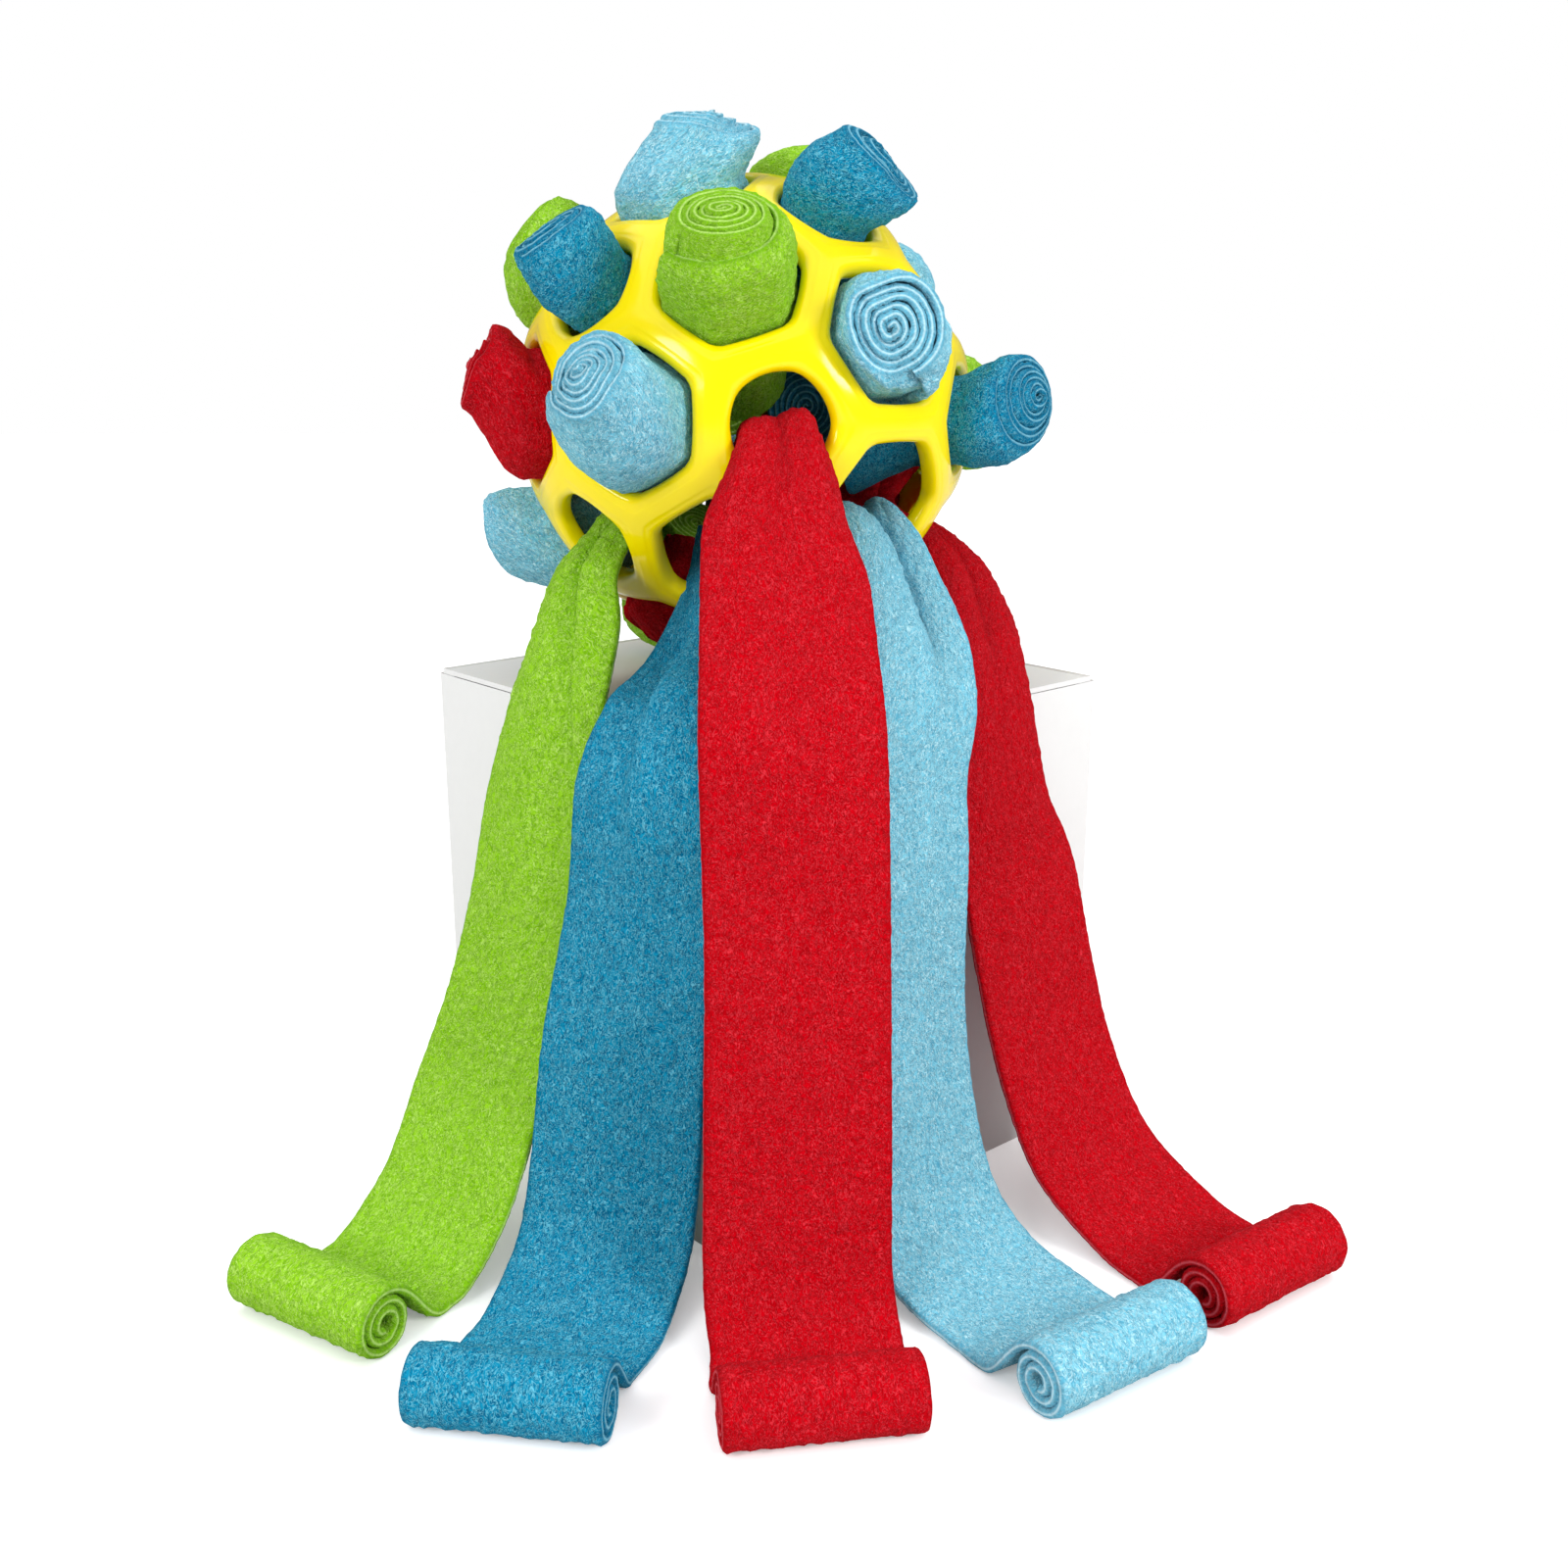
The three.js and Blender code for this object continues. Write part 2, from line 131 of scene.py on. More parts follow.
def smooth_rows(rows: np.ndarray, steps: int) -> np.ndarray:
    """Draws a smooth curve through rows of values.

    Args:
        rows: One row of values for each place that the curve passes.
        steps: Samples from one row to the next.

    Returns:
        The samples, with the first and last rows at their ends.
    """
    padded = np.vstack([2 * rows[0] - rows[1], rows, 2 * rows[-1] - rows[-2]])
    way = np.linspace(0, 1, steps, endpoint=False)[:, None]
    pieces = []
    for before, here, there, after in zip(padded, padded[1:], padded[2:], padded[3:]):
        leaving = (there - before) / 2
        arriving = (after - here) / 2
        cubic = 2 * here - 2 * there + leaving + arriving
        square = 3 * there - 3 * here - 2 * leaving - arriving
        pieces.append(((cubic * way + square) * way + leaving) * way + here)
    return np.vstack([*pieces, rows[-1:]])


def unit(vectors: np.ndarray) -> np.ndarray:
    """Scales vectors to a length of one."""
    return vectors / np.linalg.norm(vectors, axis=-1, keepdims=True)


def smooth_step(low: float, high: float, values: np.ndarray) -> np.ndarray:
    """Rises smoothly from 0 at low to 1 at high."""
    share = np.clip((values - low) / (high - low), 0, 1)
    return share * share * (3 - 2 * share)


def turned(points: np.ndarray, degrees: float) -> np.ndarray:
    """Turns points about the upright axis."""
    cosine, sine = math.cos(math.radians(degrees)), math.sin(math.radians(degrees))
    return points @ np.array([[cosine, sine, 0], [-sine, cosine, 0], [0, 0, 1]])


def ring_faces(rings: int, count: int, start: int = 0) -> list[tuple[int, ...]]:
    """Joins closed rings of points to one another in turn.

    Args:
        rings: Number of rings.
        count: Points in each ring.
        start: Number of the first point.

    Returns:
        Corner numbers of the faces.
    """
    faces = []
    for low in range(start, start + (rings - 1) * count, count):
        for i in range(count):
            j = (i + 1) % count
            faces.append((low + i, low + j, low + count + j, low + count + i))
    return faces


@dataclass
class Shell:
    """Points and faces of a closed surface, with the values that its finish reads.

    Attributes:
        points: Corner points in millimetres.
        faces: Corner numbers of each face.
        cloth: Place on the flat cloth for each point, and depth below its face, in millimetres.
        edge: Nearness to a cut edge for each point, from 0 to 1.
    """

    points: np.ndarray
    faces: list[tuple[int, ...]]
    cloth: np.ndarray
    edge: np.ndarray

    @classmethod
    def plain(cls, points: np.ndarray, faces: list[tuple[int, ...]]) -> "Shell":
        """Makes a shell that isn't cloth, with its faces outwards."""
        return cls(points, faces, np.zeros((len(points), 3)), np.zeros(len(points))).outward()

    def outward(self) -> "Shell":
        """Turns the faces round if they point inwards.

        Returns:
            The shell itself.
        """
        volume = 0.0
        for face in self.faces:
            first = self.points[face[0]]
            for second, third in zip(face[1:], face[2:]):
                volume += float(np.dot(first, np.cross(self.points[second], self.points[third])))
        if volume < 0:
            self.faces = [face[::-1] for face in self.faces]
        return self


def banded_shell(
    top: np.ndarray, bottom: np.ndarray, start: np.ndarray, end: np.ndarray, cloth: np.ndarray
) -> Shell:
    """Closes a thick sheet from its two faces and its two long edges.

    Args:
        top: Points of the upper face, by station along the sheet and place across it.
        bottom: Points of the lower face, in the same order.
        start: Points round the edge at the first place across, from top to bottom, by station.
        end: Points round the edge at the last place across, from top to bottom, by station.
        cloth: Place on the flat cloth for each point of a face.

    Returns:
        The closed shell.
    """
    beside_edge = 0.25
    stations, across = top.shape[:2]
    rounding = start.shape[1]
    rings = np.concatenate([top, end, bottom[:, ::-1], start[:, ::-1]], axis=1)
    count = rings.shape[1]
    backing = cloth + np.array([0, 0, CLOTH_DEPTH])
    between = np.linspace(0, CLOTH_DEPTH, rounding + 2)[1:-1, None] * np.array([0, 0, 1])
    left = cloth[:, :1] + between[::-1]
    right = cloth[:, -1:] + between
    cloth_rings = np.concatenate([cloth, right, backing[:, ::-1], left], axis=1)
    side = np.zeros(across)
    side[[0, -1]] = beside_edge
    edge_ring = np.concatenate([side, np.ones(rounding), side, np.ones(rounding)])
    faces = ring_faces(stations, count)
    below = across + rounding
    last_below = below + across - 1
    for base, turn in ((0, 1), ((stations - 1) * count, -1)):
        cap = [(i, last_below - i, last_below - i - 1, i + 1) for i in range(across - 1)]
        cap.append(tuple(range(across - 1, below + 1)))
        cap.append((*range(last_below, count), 0))
        faces += [tuple(base + i for i in face)[::turn] for face in cap]
    edge = np.tile(edge_ring, stations)
    return Shell(rings.reshape(-1, 3), faces, cloth_rings.reshape(-1, 3), edge).outward()


def mesh_object(name: str, shells: list[Shell], material: bpy.types.Material) -> bpy.types.Object:
    """Makes one object from closed shells.

    Args:
        name: Name of the piece.
        shells: The closed surfaces, in millimetres.
        material: Its finish.

    Returns:
        The object, in the scene, with smooth shading.
    """
    points, faces, start = [], [], 0
    for shell in shells:
        points.append(shell.points * MM)
        faces += [tuple(start + i for i in face) for face in shell.faces]
        start += len(shell.points)
    mesh = bpy.data.meshes.new(name)
    mesh.from_pydata(np.vstack(points), [], faces)
    mesh.shade_smooth()
    cloth = mesh.attributes.new("cloth", "FLOAT_VECTOR", "POINT")
    places = np.vstack([shell.cloth * MM for shell in shells]).astype(np.float32)
    cloth.data.foreach_set("vector", places.ravel())
    edge = mesh.attributes.new("edge", "FLOAT", "POINT")
    nearness = np.concatenate([shell.edge for shell in shells]).astype(np.float32)
    edge.data.foreach_set("value", nearness)
    mesh.materials.append(material)
    piece = bpy.data.objects.new(name, mesh)
    bpy.context.scene.collection.objects.link(piece)
    return piece


def declare(piece: bpy.types.Object, solid: str) -> None:
    """Puts a finished piece in place of its solid: hides the solid and attaches the piece to the body.

    Args:
        piece: The piece.
        solid: The solid that it stands for.
    """
    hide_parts(solid)
    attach(piece, BODY)


class Fleece(Enum):
    """The fleeces: name, ground, painted shade of pits and cut edges, pale strands partly painted sheen, cut
    knit.
    """

    RED = ("red", "#BE0010", "#A2000A", "#D83440", "#DC5A64")
    GREEN = ("green", "#8EC822", "#6EA80C", "#C0E672", "#C8EA88")
    BLUE = ("blue", "#0E8AB0", "#006086", "#74C8DE", "#8CCCDE")
    SKY = ("sky", "#7CC6DC", "#54A0BC", "#C6EEF6", "#CCEEF6")

    @property
    def word(self) -> str:
        """Its name."""
        return self.value[0]

    @property
    def slot(self) -> str:
        """Its material slot in the record."""
        return f"{self.word}_fleece"


@dataclass(frozen=True)
class FleeceFinish:
    """Knitted polyester fleece, brushed into a short curled pile.

    Pale strands meander over a deeper ground, the strands partly the fibres' own paler colour and partly a
    painted sheen, and the pits between the curls carry painted shade. The pile is matt with a faint bloom
    where it is seen edge on, and a cut edge carries painted shade and shows the paler knit as a thin line in
    its middle. Single fibres are too fine to show, so each strand is drawn as wide as a lock of them.

    Attributes:
        colour: Which fleece it is.
        curl: Width of one curl of pile in millimetres.
        strand: Distance between the strands in millimetres.
        tuft: Width of a group of curls that lean together in millimetres.
        shade_patch: Width of the slow changes of shade in millimetres.
        relief: Depth of the finest relief in millimetres.
        knit: Half width of the knit's line in a cut edge in millimetres.
    """

    colour: Fleece
    curl: float = 1.2
    strand: float = 1.5
    tuft: float = 2.2
    shade_patch: float = 26.0
    relief: float = 1.0
    knit: float = 0.32

    # Stretch of the curls across the strip, along it and through it.
    LAY = (1.25, 0.8, 1.0)

    def pile(
        self, tree: bpy.types.NodeTree, cloth: bpy.types.NodeSocket
    ) -> tuple[bpy.types.Node, bpy.types.Node]:
        """Adds the curled pile.

        Args:
            tree: The material's tree.
            cloth: Place on the flat cloth.

        Returns:
            Nodes that give the pile's colour and its height.
        """
        _, ground, painted_pit_shade, strand, _ = self.colour.value
        per_curl, per_strand = 1 / (self.curl * MM), 1 / (self.strand * MM)
        per_tuft, per_patch = 1 / (self.tuft * MM), 1 / (self.shade_patch * MM)
        lying = add_node(tree, "ShaderNodeVectorMath", {0: cloth, 1: self.LAY}, operation="MULTIPLY")
        curls = add_node(
            tree,
            "ShaderNodeTexNoise",
            {"Vector": lying, "Scale": per_curl, "Detail": 1.0, "Roughness": 0.4, "Distortion": 1.4},
        )
        tufts = add_node(
            tree,
            "ShaderNodeTexNoise",
            {"Vector": cloth, "Scale": per_tuft, "Detail": 2.0, "Distortion": 0.6},
        )
        waves = add_node(
            tree,
            "ShaderNodeTexNoise",
            {"Vector": lying, "Scale": per_strand, "Detail": 1.0, "Distortion": 2.2},
        )
        across = add_node(tree, "ShaderNodeMath", {0: waves, 1: 0.5}, operation="SUBTRACT")
        away = add_node(tree, "ShaderNodeMath", {0: across}, operation="ABSOLUTE")
        strands = add_node(
            tree, "ShaderNodeMapRange", {"Value": away, "From Max": 0.07, "To Min": 1.0, "To Max": 0.0}
        )
        clumps = add_node(tree, "ShaderNodeMath", {0: curls, 1: 0.6, 2: tufts}, operation="MULTIPLY_ADD")
        height = add_node(tree, "ShaderNodeMath", {0: strands, 1: 0.15, 2: clumps}, operation="MULTIPLY_ADD")
        # Painted shade: the pits between the curls are darkened towards the pit colour, since the bump casts
        # no shade.
        light = add_node(tree, "ShaderNodeMapRange", {"Value": curls, "From Min": 0.34, "From Max": 0.62})
        pit_shaded = add_node(
            tree, "ShaderNodeMix", {0: light, 6: linear(painted_pit_shade), 7: linear(ground)}, data_type="RGBA"
        )
        # The pale strands are partly the fibres' own colour and partly a painted sheen of them.
        raised = add_node(tree, "ShaderNodeMath", {0: strands, 1: 0.8}, operation="MULTIPLY")
        strands_and_sheen = add_node(
            tree, "ShaderNodeMix", {0: raised, 6: pit_shaded.outputs[2], 7: linear(strand)}, data_type="RGBA"
        )
        patch = add_node(tree, "ShaderNodeTexNoise", {"Vector": cloth, "Scale": per_patch, "Detail": 2.0})
        value = add_node(
            tree,
            "ShaderNodeMapRange",
            {"Value": patch, "From Min": 0.3, "From Max": 0.7, "To Min": 0.97, "To Max": 1.03},
        )
        shaded = add_node(tree, "ShaderNodeHueSaturation", {"Value": value, "Color": strands_and_sheen.outputs[2]})
        return shaded, height

    def cut_edge(
        self, tree: bpy.types.NodeTree, cloth: bpy.types.NodeSocket, pile: bpy.types.Node
    ) -> bpy.types.NodeSocket:
        """Adds the cut edges: painted shade that darkens them towards the pit colour, and the line of the
        knit.

        Args:
            tree: The material's tree.
            cloth: Place on the flat cloth.
            pile: Node that gives the pile's colour.

        Returns:
            Socket that gives the fleece's colour.
        """
        _, _, painted_pit_shade, _, cut = self.colour.value
        nearness = add_node(tree, "ShaderNodeAttribute", attribute_name="edge").outputs["Fac"]
        depth = add_node(tree, "ShaderNodeSeparateXYZ", {"Vector": cloth}).outputs["Z"]
        middle = add_node(tree, "ShaderNodeMath", {0: depth, 1: CLOTH_DEPTH / 2 * MM}, operation="SUBTRACT")
        beside = add_node(tree, "ShaderNodeMath", {0: middle}, operation="ABSOLUTE")
        line = add_node(
            tree,
            "ShaderNodeMapRange",
            {"Value": beside, "From Max": self.knit * MM, "To Min": 0.75, "To Max": 0.0},
        )
        frayed = add_node(tree, "ShaderNodeMath", {0: nearness, 1: line}, operation="MULTIPLY")
        # Painted shade: the cut edges are darkened towards the pit colour.
        edge_shade = add_node(tree, "ShaderNodeMath", {0: nearness, 1: 0.7}, operation="MULTIPLY")
        shaded_edge = add_node(
            tree, "ShaderNodeMix", {0: edge_shade, 6: pile.outputs["Color"], 7: linear(painted_pit_shade)}, data_type="RGBA"
        )
        edged = add_node(
            tree, "ShaderNodeMix", {0: frayed, 6: shaded_edge.outputs[2], 7: linear(cut)}, data_type="RGBA"
        )
        return edged.outputs[2]

    def material(self) -> bpy.types.Material:
        """Builds the fleece material.

        Returns:
            The material.
        """
        material, tree, shader = new_material(
            f"brushed_polyester_fleece_{self.colour.word}",
            {
                "Roughness": 0.95,
                "Specular IOR Level": 0.05,
                "Sheen Weight": 0.12,
                "Sheen Roughness": 0.45,
                "Sheen Tint": linear(self.colour.value[3]),
            },
        )
        cloth = add_node(tree, "ShaderNodeAttribute", attribute_name="cloth").outputs["Vector"]
        pile, height = self.pile(tree, cloth)
        bump = add_node(
            tree, "ShaderNodeBump", {"Strength": 0.9, "Distance": self.relief * MM, "Height": height}
        )
        tree.links.new(self.cut_edge(tree, cloth, pile), shader.inputs["Base Color"])
        tree.links.new(bump.outputs["Normal"], shader.inputs["Normal"])
        return material


@dataclass(frozen=True)
class EvenFinish:
    """A finish of one colour with a faint mottle in its shade and its relief.

    Attributes:
        name: What the real material is.
        colour: sRGB colour.
        width: Width of the mottle in millimetres.
        detail: How fine the mottle goes.
        tones: Darkest and palest share of the colour.
        strength: Strength of the relief.
        depth: Depth of the relief in millimetres.
        constants: Values of the shader's own inputs.
    """

    name: str
    colour: str
    width: float
    detail: float
    tones: tuple[float, float]
    strength: float
    depth: float
    constants: dict[str, object]

    def material(self) -> bpy.types.Material:
        """Builds the material.

        Returns:
            The material.
        """
        material, tree, shader = new_material(self.name, self.constants)
        place = add_node(tree, "ShaderNodeTexCoord").outputs["Object"]
        mottle = add_node(
            tree,
            "ShaderNodeTexNoise",
            {"Vector": place, "Scale": 1 / (self.width * MM), "Detail": self.detail},
        )
        tone = add_node(
            tree, "ShaderNodeMapRange", {"Value": mottle, "To Min": self.tones[0], "To Max": self.tones[1]}
        )
        colour = add_node(tree, "ShaderNodeHueSaturation", {"Value": tone, "Color": linear(self.colour)})
        bump = add_node(
            tree,
            "ShaderNodeBump",
            {"Strength": self.strength, "Distance": self.depth * MM, "Height": mottle},
        )
        tree.links.new(colour.outputs["Color"], shader.inputs["Base Color"])
        tree.links.new(bump.outputs["Normal"], shader.inputs["Normal"])
        return material


# Soft PVC, moulded in a polished tool: an even colour that glows a little, and a wet gloss.
YELLOW_PLASTIC = EvenFinish(
    name="polished_moulded_pvc_yellow",
    colour="#F8DF00",
    width=9.0,
    detail=1.0,
    tones=(0.97, 1.02),
    strength=0.25,
    depth=0.2,
    constants={
        "Roughness": 0.14,
        "Specular IOR Level": 0.38,
        "Subsurface Weight": 0.12,
        "Subsurface Radius": (1.0, 0.7, 0.1),
        "Subsurface Scale": 2 * MM,
    },
)

# Clay-coated folding boxboard: white and nearly matt, with the faint mottle of its fibres.
WHITE_CARD = EvenFinish(
    name="coated_white_boxboard",
    colour="#E0E0DF",
    width=3.0,
    detail=4.0,
    tones=(0.975, 1.015),
    strength=0.15,
    depth=0.1,
    constants={"Roughness": 0.6},
)


@dataclass
class NapTree:
    """Geometry Nodes that raise a sheet into soft tufts of pile, on the sheet's own cloth places.

    Attributes:
        tuft: Width of a tuft in millimetres.
        depth: Height from the valleys to the crowns in millimetres.
        calm: Share of that height that is left at a cut edge.
        tree: The node tree.
    """

    tuft: float = 2.4
    depth: float = 2.0
    calm: float = 0.35
    tree: bpy.types.NodeTree = field(init=False)

    def __post_init__(self) -> None:
        """Builds the tree once."""
        tree = bpy.data.node_groups.new("fleece_nap", "GeometryNodeTree")
        tree.interface.new_socket("Geometry", in_out="INPUT", socket_type="NodeSocketGeometry")
        for name in ("Tuft", "Depth"):
            tree.interface.new_socket(name, in_out="INPUT", socket_type="NodeSocketFloat")
        tree.interface.new_socket("Material", in_out="INPUT", socket_type="NodeSocketMaterial")
        tree.interface.new_socket("Geometry", in_out="OUTPUT", socket_type="NodeSocketGeometry")
        given = add_node(tree, "NodeGroupInput").outputs
        named = "GeometryNodeInputNamedAttribute"
        cloth = add_node(tree, named, {"Name": "cloth"}, data_type="FLOAT_VECTOR")
        edge = add_node(tree, named, {"Name": "edge"}, data_type="FLOAT")
        normal = add_node(tree, "GeometryNodeInputNormal").outputs["Normal"]
        per_metre = add_node(tree, "ShaderNodeMath", {0: 1.0, 1: given["Tuft"]}, operation="DIVIDE")
        tufts = add_node(
            tree,
            "ShaderNodeTexNoise",
            {"Vector": cloth, "Scale": per_metre, "Detail": 2.0, "Distortion": 0.5},
        )
        crown = add_node(tree, "ShaderNodeMath", {0: tufts, 1: 0.5}, operation="SUBTRACT")
        calm = add_node(tree, "ShaderNodeMath", {0: given["Depth"], 1: self.calm}, operation="MULTIPLY")
        pile = add_node(
            tree, "ShaderNodeMapRange", {"Value": edge, "To Min": given["Depth"], "To Max": calm}
        )
        rise = add_node(tree, "ShaderNodeMath", {0: crown, 1: pile}, operation="MULTIPLY")
        offset = add_node(tree, "ShaderNodeVectorMath", {0: normal, "Scale": rise}, operation="SCALE")
        moved = add_node(
            tree, "GeometryNodeSetPosition", {"Geometry": given["Geometry"], "Offset": offset}
        )
        plain = add_node(tree, "GeometryNodeRealizeInstances", {"Geometry": moved})
        finished = add_node(
            tree, "GeometryNodeSetMaterial", {"Geometry": plain, "Material": given["Material"]}
        )
        add_node(tree, "NodeGroupOutput", {"Geometry": finished})
        self.tree = tree

    def apply(self, piece: bpy.types.Object) -> None:
        """Raises the nap of one sheet, leaves it a plain mesh and keeps it above the table.

        Args:
            piece: The sheet.
        """
        material = piece.data.materials[0]
        values = {"Tuft": self.tuft * MM, "Depth": self.depth * MM, "Material": material}
        modifier = piece.modifiers.new(self.tree.name, "NODES")
        modifier.node_group = self.tree
        for item in self.tree.interface.items_tree:
            if item.in_out == "INPUT" and item.name in values:
                modifier[item.identifier] = values[item.name]
        graph = bpy.context.evaluated_depsgraph_get()
        raised = bpy.data.meshes.new_from_object(piece.evaluated_get(graph))
        piece.modifiers.remove(modifier)
        smooth = piece.data
        piece.data = raised
        raised.name = piece.name
        bpy.data.meshes.remove(smooth)
        places = np.empty(3 * len(raised.vertices), dtype=np.float32)
        raised.vertices.foreach_get("co", places)
        places[2::3] = np.maximum(places[2::3], 0)
        raised.vertices.foreach_set("co", places)
        raised.update()


@dataclass(frozen=True)
class HoleKind:
    """One of the two sizes of hole in the lattice.

    Attributes:
        sides: Number of ribs round it.
        apothem: Its half width at the ball's surface in millimetres.
        square: How far its corners are square, 0 being round.
    """

    sides: int
    apothem: float
    square: float

    def slope(self, angle: np.ndarray, radius: float) -> np.ndarray:
        """Sideways reach of the rim for each unit along the hole's axis.

        Args:
            angle: Angles round the axis, counted from a corner.
            radius: Radius of the ball.

        Returns:
            The slope for each angle.
        """
        half = math.pi / self.sides
        rounded_corner = 0.86
        from_middle = np.abs(np.mod(angle, 2 * half) - half)
        soft = np.minimum(from_middle, rounded_corner * half)
        plain = math.tan(math.asin(self.apothem / radius))
        return plain * (1 - self.square + self.square / np.cos(soft))


SMALL_HOLE = HoleKind(sides=5, apothem=12.8, square=0.18)
LARGE_HOLE = HoleKind(sides=6, apothem=17.3, square=0.7)


@dataclass(frozen=True)
class Hole:
    """One hole of the lattice, in the ball's own frame.

    Attributes:
        kind: Its size.
        axis: Unit vector from the ball's middle through the hole.
        corners: Unit vectors to the rib corners round it, anticlockwise from outside.
    """

    kind: HoleKind
    axis: np.ndarray
    corners: np.ndarray

    def basis(self) -> tuple[np.ndarray, np.ndarray]:
        """Two unit vectors across the hole, the first towards its first corner."""
        first = unit(self.corners[0] - self.axis * (self.corners[0] @ self.axis))
        return first, np.cross(self.axis, first)

    def across(self, angle: np.ndarray) -> np.ndarray:
        """Unit vectors across the hole at angles round its axis."""
        first, second = self.basis()
        return np.cos(angle)[..., None] * first + np.sin(angle)[..., None] * second


@dataclass
class Ball:
    """The moulded ball: its lattice and the places of its holes.

    Attributes:
        radius: Outer radius in millimetres.
        wall: Thickness of the wall.
        middle: Middle of the ball.
        turn: Turn of the ball about the upright axis, in degrees.
        first_clock: Clock angle of the first small hole of the front ring, in degrees from straight up.
        side_steps: Mesh points along each rib.
        fillet_share: Share of a rib's half width that stays flat before the rounded rim starts.
        rim_depth: Depth of the narrowest part of a hole below the surface.
        land: Depth of the low land that runs round each hole.
        holes: The holes, by ring and place.
    """

    radius: float = 61.0
    wall: float = 5.0
    middle: tuple[float, float, float] = (-5.0, 2.0, 204.2)
    turn: float = 10.0
    first_clock: float = 19.0
    side_steps: int = 10
    fillet_share: float = 0.58
    rim_depth: float = 2.6
    land: float = 0.22
    holes: dict[tuple[int, int], Hole] = field(init=False)

    # Rings of holes from the front to the back: angle from the front, number of holes, whether they stand
    # half a place on, and their kind. The angles are those of a football's panels.
    RINGS = (
        (0.0, 1, False, SMALL_HOLE),
        (37.377, 5, True, LARGE_HOLE),
        (63.435, 5, False, SMALL_HOLE),
        (79.188, 5, True, LARGE_HOLE),
        (100.812, 5, False, LARGE_HOLE),
        (116.565, 5, True, SMALL_HOLE),
        (142.623, 5, False, LARGE_HOLE),
        (180.0, 1, True, SMALL_HOLE),
    )
    PLACE_ANGLE = 72

    def __post_init__(self) -> None:
        """Works out every hole once."""
        axes = {}
        for ring, (polar, places, half, kind) in enumerate(self.RINGS):
            for place in range(places):
                clock = self.first_clock + self.PLACE_ANGLE * (place + half / 2)
                axes[ring, place] = (self.direction(polar, clock), kind)
        small = [axis for axis, kind in axes.values() if kind is SMALL_HOLE]
        neighbour = 1 / math.sqrt(5)
        pairs = [(one, other) for one in small for other in small if abs(one @ other - neighbour) < 0.01]
        corners = [unit(2 * one + other) for one, other in pairs]
        self.holes = {}
        for key, (axis, kind) in axes.items():
            near = np.array(sorted(corners, key=lambda corner: -(corner @ axis))[: kind.sides])
            first, second = Hole(kind, axis, near).basis()
            order = np.argsort(np.arctan2(near @ second, near @ first))
            self.holes[key] = Hole(kind, axis, near[order])

    @staticmethod
    def direction(polar: float, clock: float) -> np.ndarray:
        """Points from the ball's middle to a place on its surface.

        Args:
            polar: Angle from the front, in degrees.
            clock: Angle from straight up, in degrees.

        Returns:
            The unit vector.
        """
        across = math.sin(math.radians(polar))
        x = across * math.sin(math.radians(clock))
        z = across * math.cos(math.radians(clock))
        return np.array([x, -math.cos(math.radians(polar)), z])

    def placed(self, points: np.ndarray) -> np.ndarray:
        """Moves points from the ball's own frame to their place."""
        return turned(points, self.turn) + np.array(self.middle)

    def section(self) -> list[tuple[float, float]]:
        """Draws half of a rib's section, from its middle over the rim to the inside.

        Returns:
            Share of the way from the rib's middle to the rim, and depth, for each point.
        """
        flat = [(0.0, 0.0), (0.22, 0.0), (0.34, 0.03), (0.4, self.land / 2), (0.46, self.land - 0.03)]
        outer = []
        for angle in np.linspace(0, math.pi / 2, 8):
            share = self.fillet_share + (1 - self.fillet_share) * math.sin(angle)
            outer.append((share, self.land + (self.rim_depth - self.land) * (1 - math.cos(angle))))
        inner = []
        back = 0.14
        for angle in np.linspace(0.3, math.pi / 2, 5):
            share = 1 - back * (1 - math.cos(angle))
            inner.append((share, self.rim_depth + (self.wall - self.rim_depth) * math.sin(angle)))
        return [*flat, *outer, *inner, (0.45, self.wall), (0.0, self.wall)]

    def lattice(self) -> Shell:
        """Builds the whole lattice from bands round each hole.

        Returns:
            The closed lattice.
        """
        points, faces, start = [], [], 0
        rows = self.section()
        steps = np.arange(self.side_steps) / self.side_steps
        for hole in self.holes.values():
            following = np.roll(hole.corners, -1, axis=0)
            spans = zip(hole.corners, following)
            ribs = unit(np.vstack([low + steps[:, None] * (high - low) for low, high in spans]))
            first, second = hole.basis()
            angle = np.arctan2(ribs @ second, ribs @ first)
            slope = hole.kind.slope(angle, self.radius)
            rims = unit(hole.axis + hole.across(angle) * slope[:, None])
            for share, depth in rows:
                points.append(unit(ribs + share * (rims - ribs)) * (self.radius - depth))
            faces += ring_faces(len(rows), len(ribs), start)
            start += len(ribs) * len(rows)
        return self.welded(self.placed(np.vstack(points)), faces)

    @staticmethod
    def welded(points: np.ndarray, faces: list[tuple[int, ...]]) -> Shell:
        """Joins points that neighbouring bands share.

        Args:
            points: All the points, some of them repeated.
            faces: Faces over them.

        Returns:
            One closed shell.
        """
        steps_per_millimetre = 1000
        keys = np.round(points * steps_per_millimetre).astype(np.int64)
        _, kept, number = np.unique(keys, axis=0, return_index=True, return_inverse=True)
        number = number.ravel()
        joined = [tuple(int(number[i]) for i in face) for face in faces]
        return Shell.plain(points[kept], joined)

    def build(self, material: bpy.types.Material) -> bpy.types.Object:
        """Makes the ball's piece.

        Args:
            material: Its plastic.

        Returns:
            The finished piece.
        """
        piece = mesh_object("ball_moulding", [self.lattice()], material)
        declare(piece, "ball_lattice")
        return piece


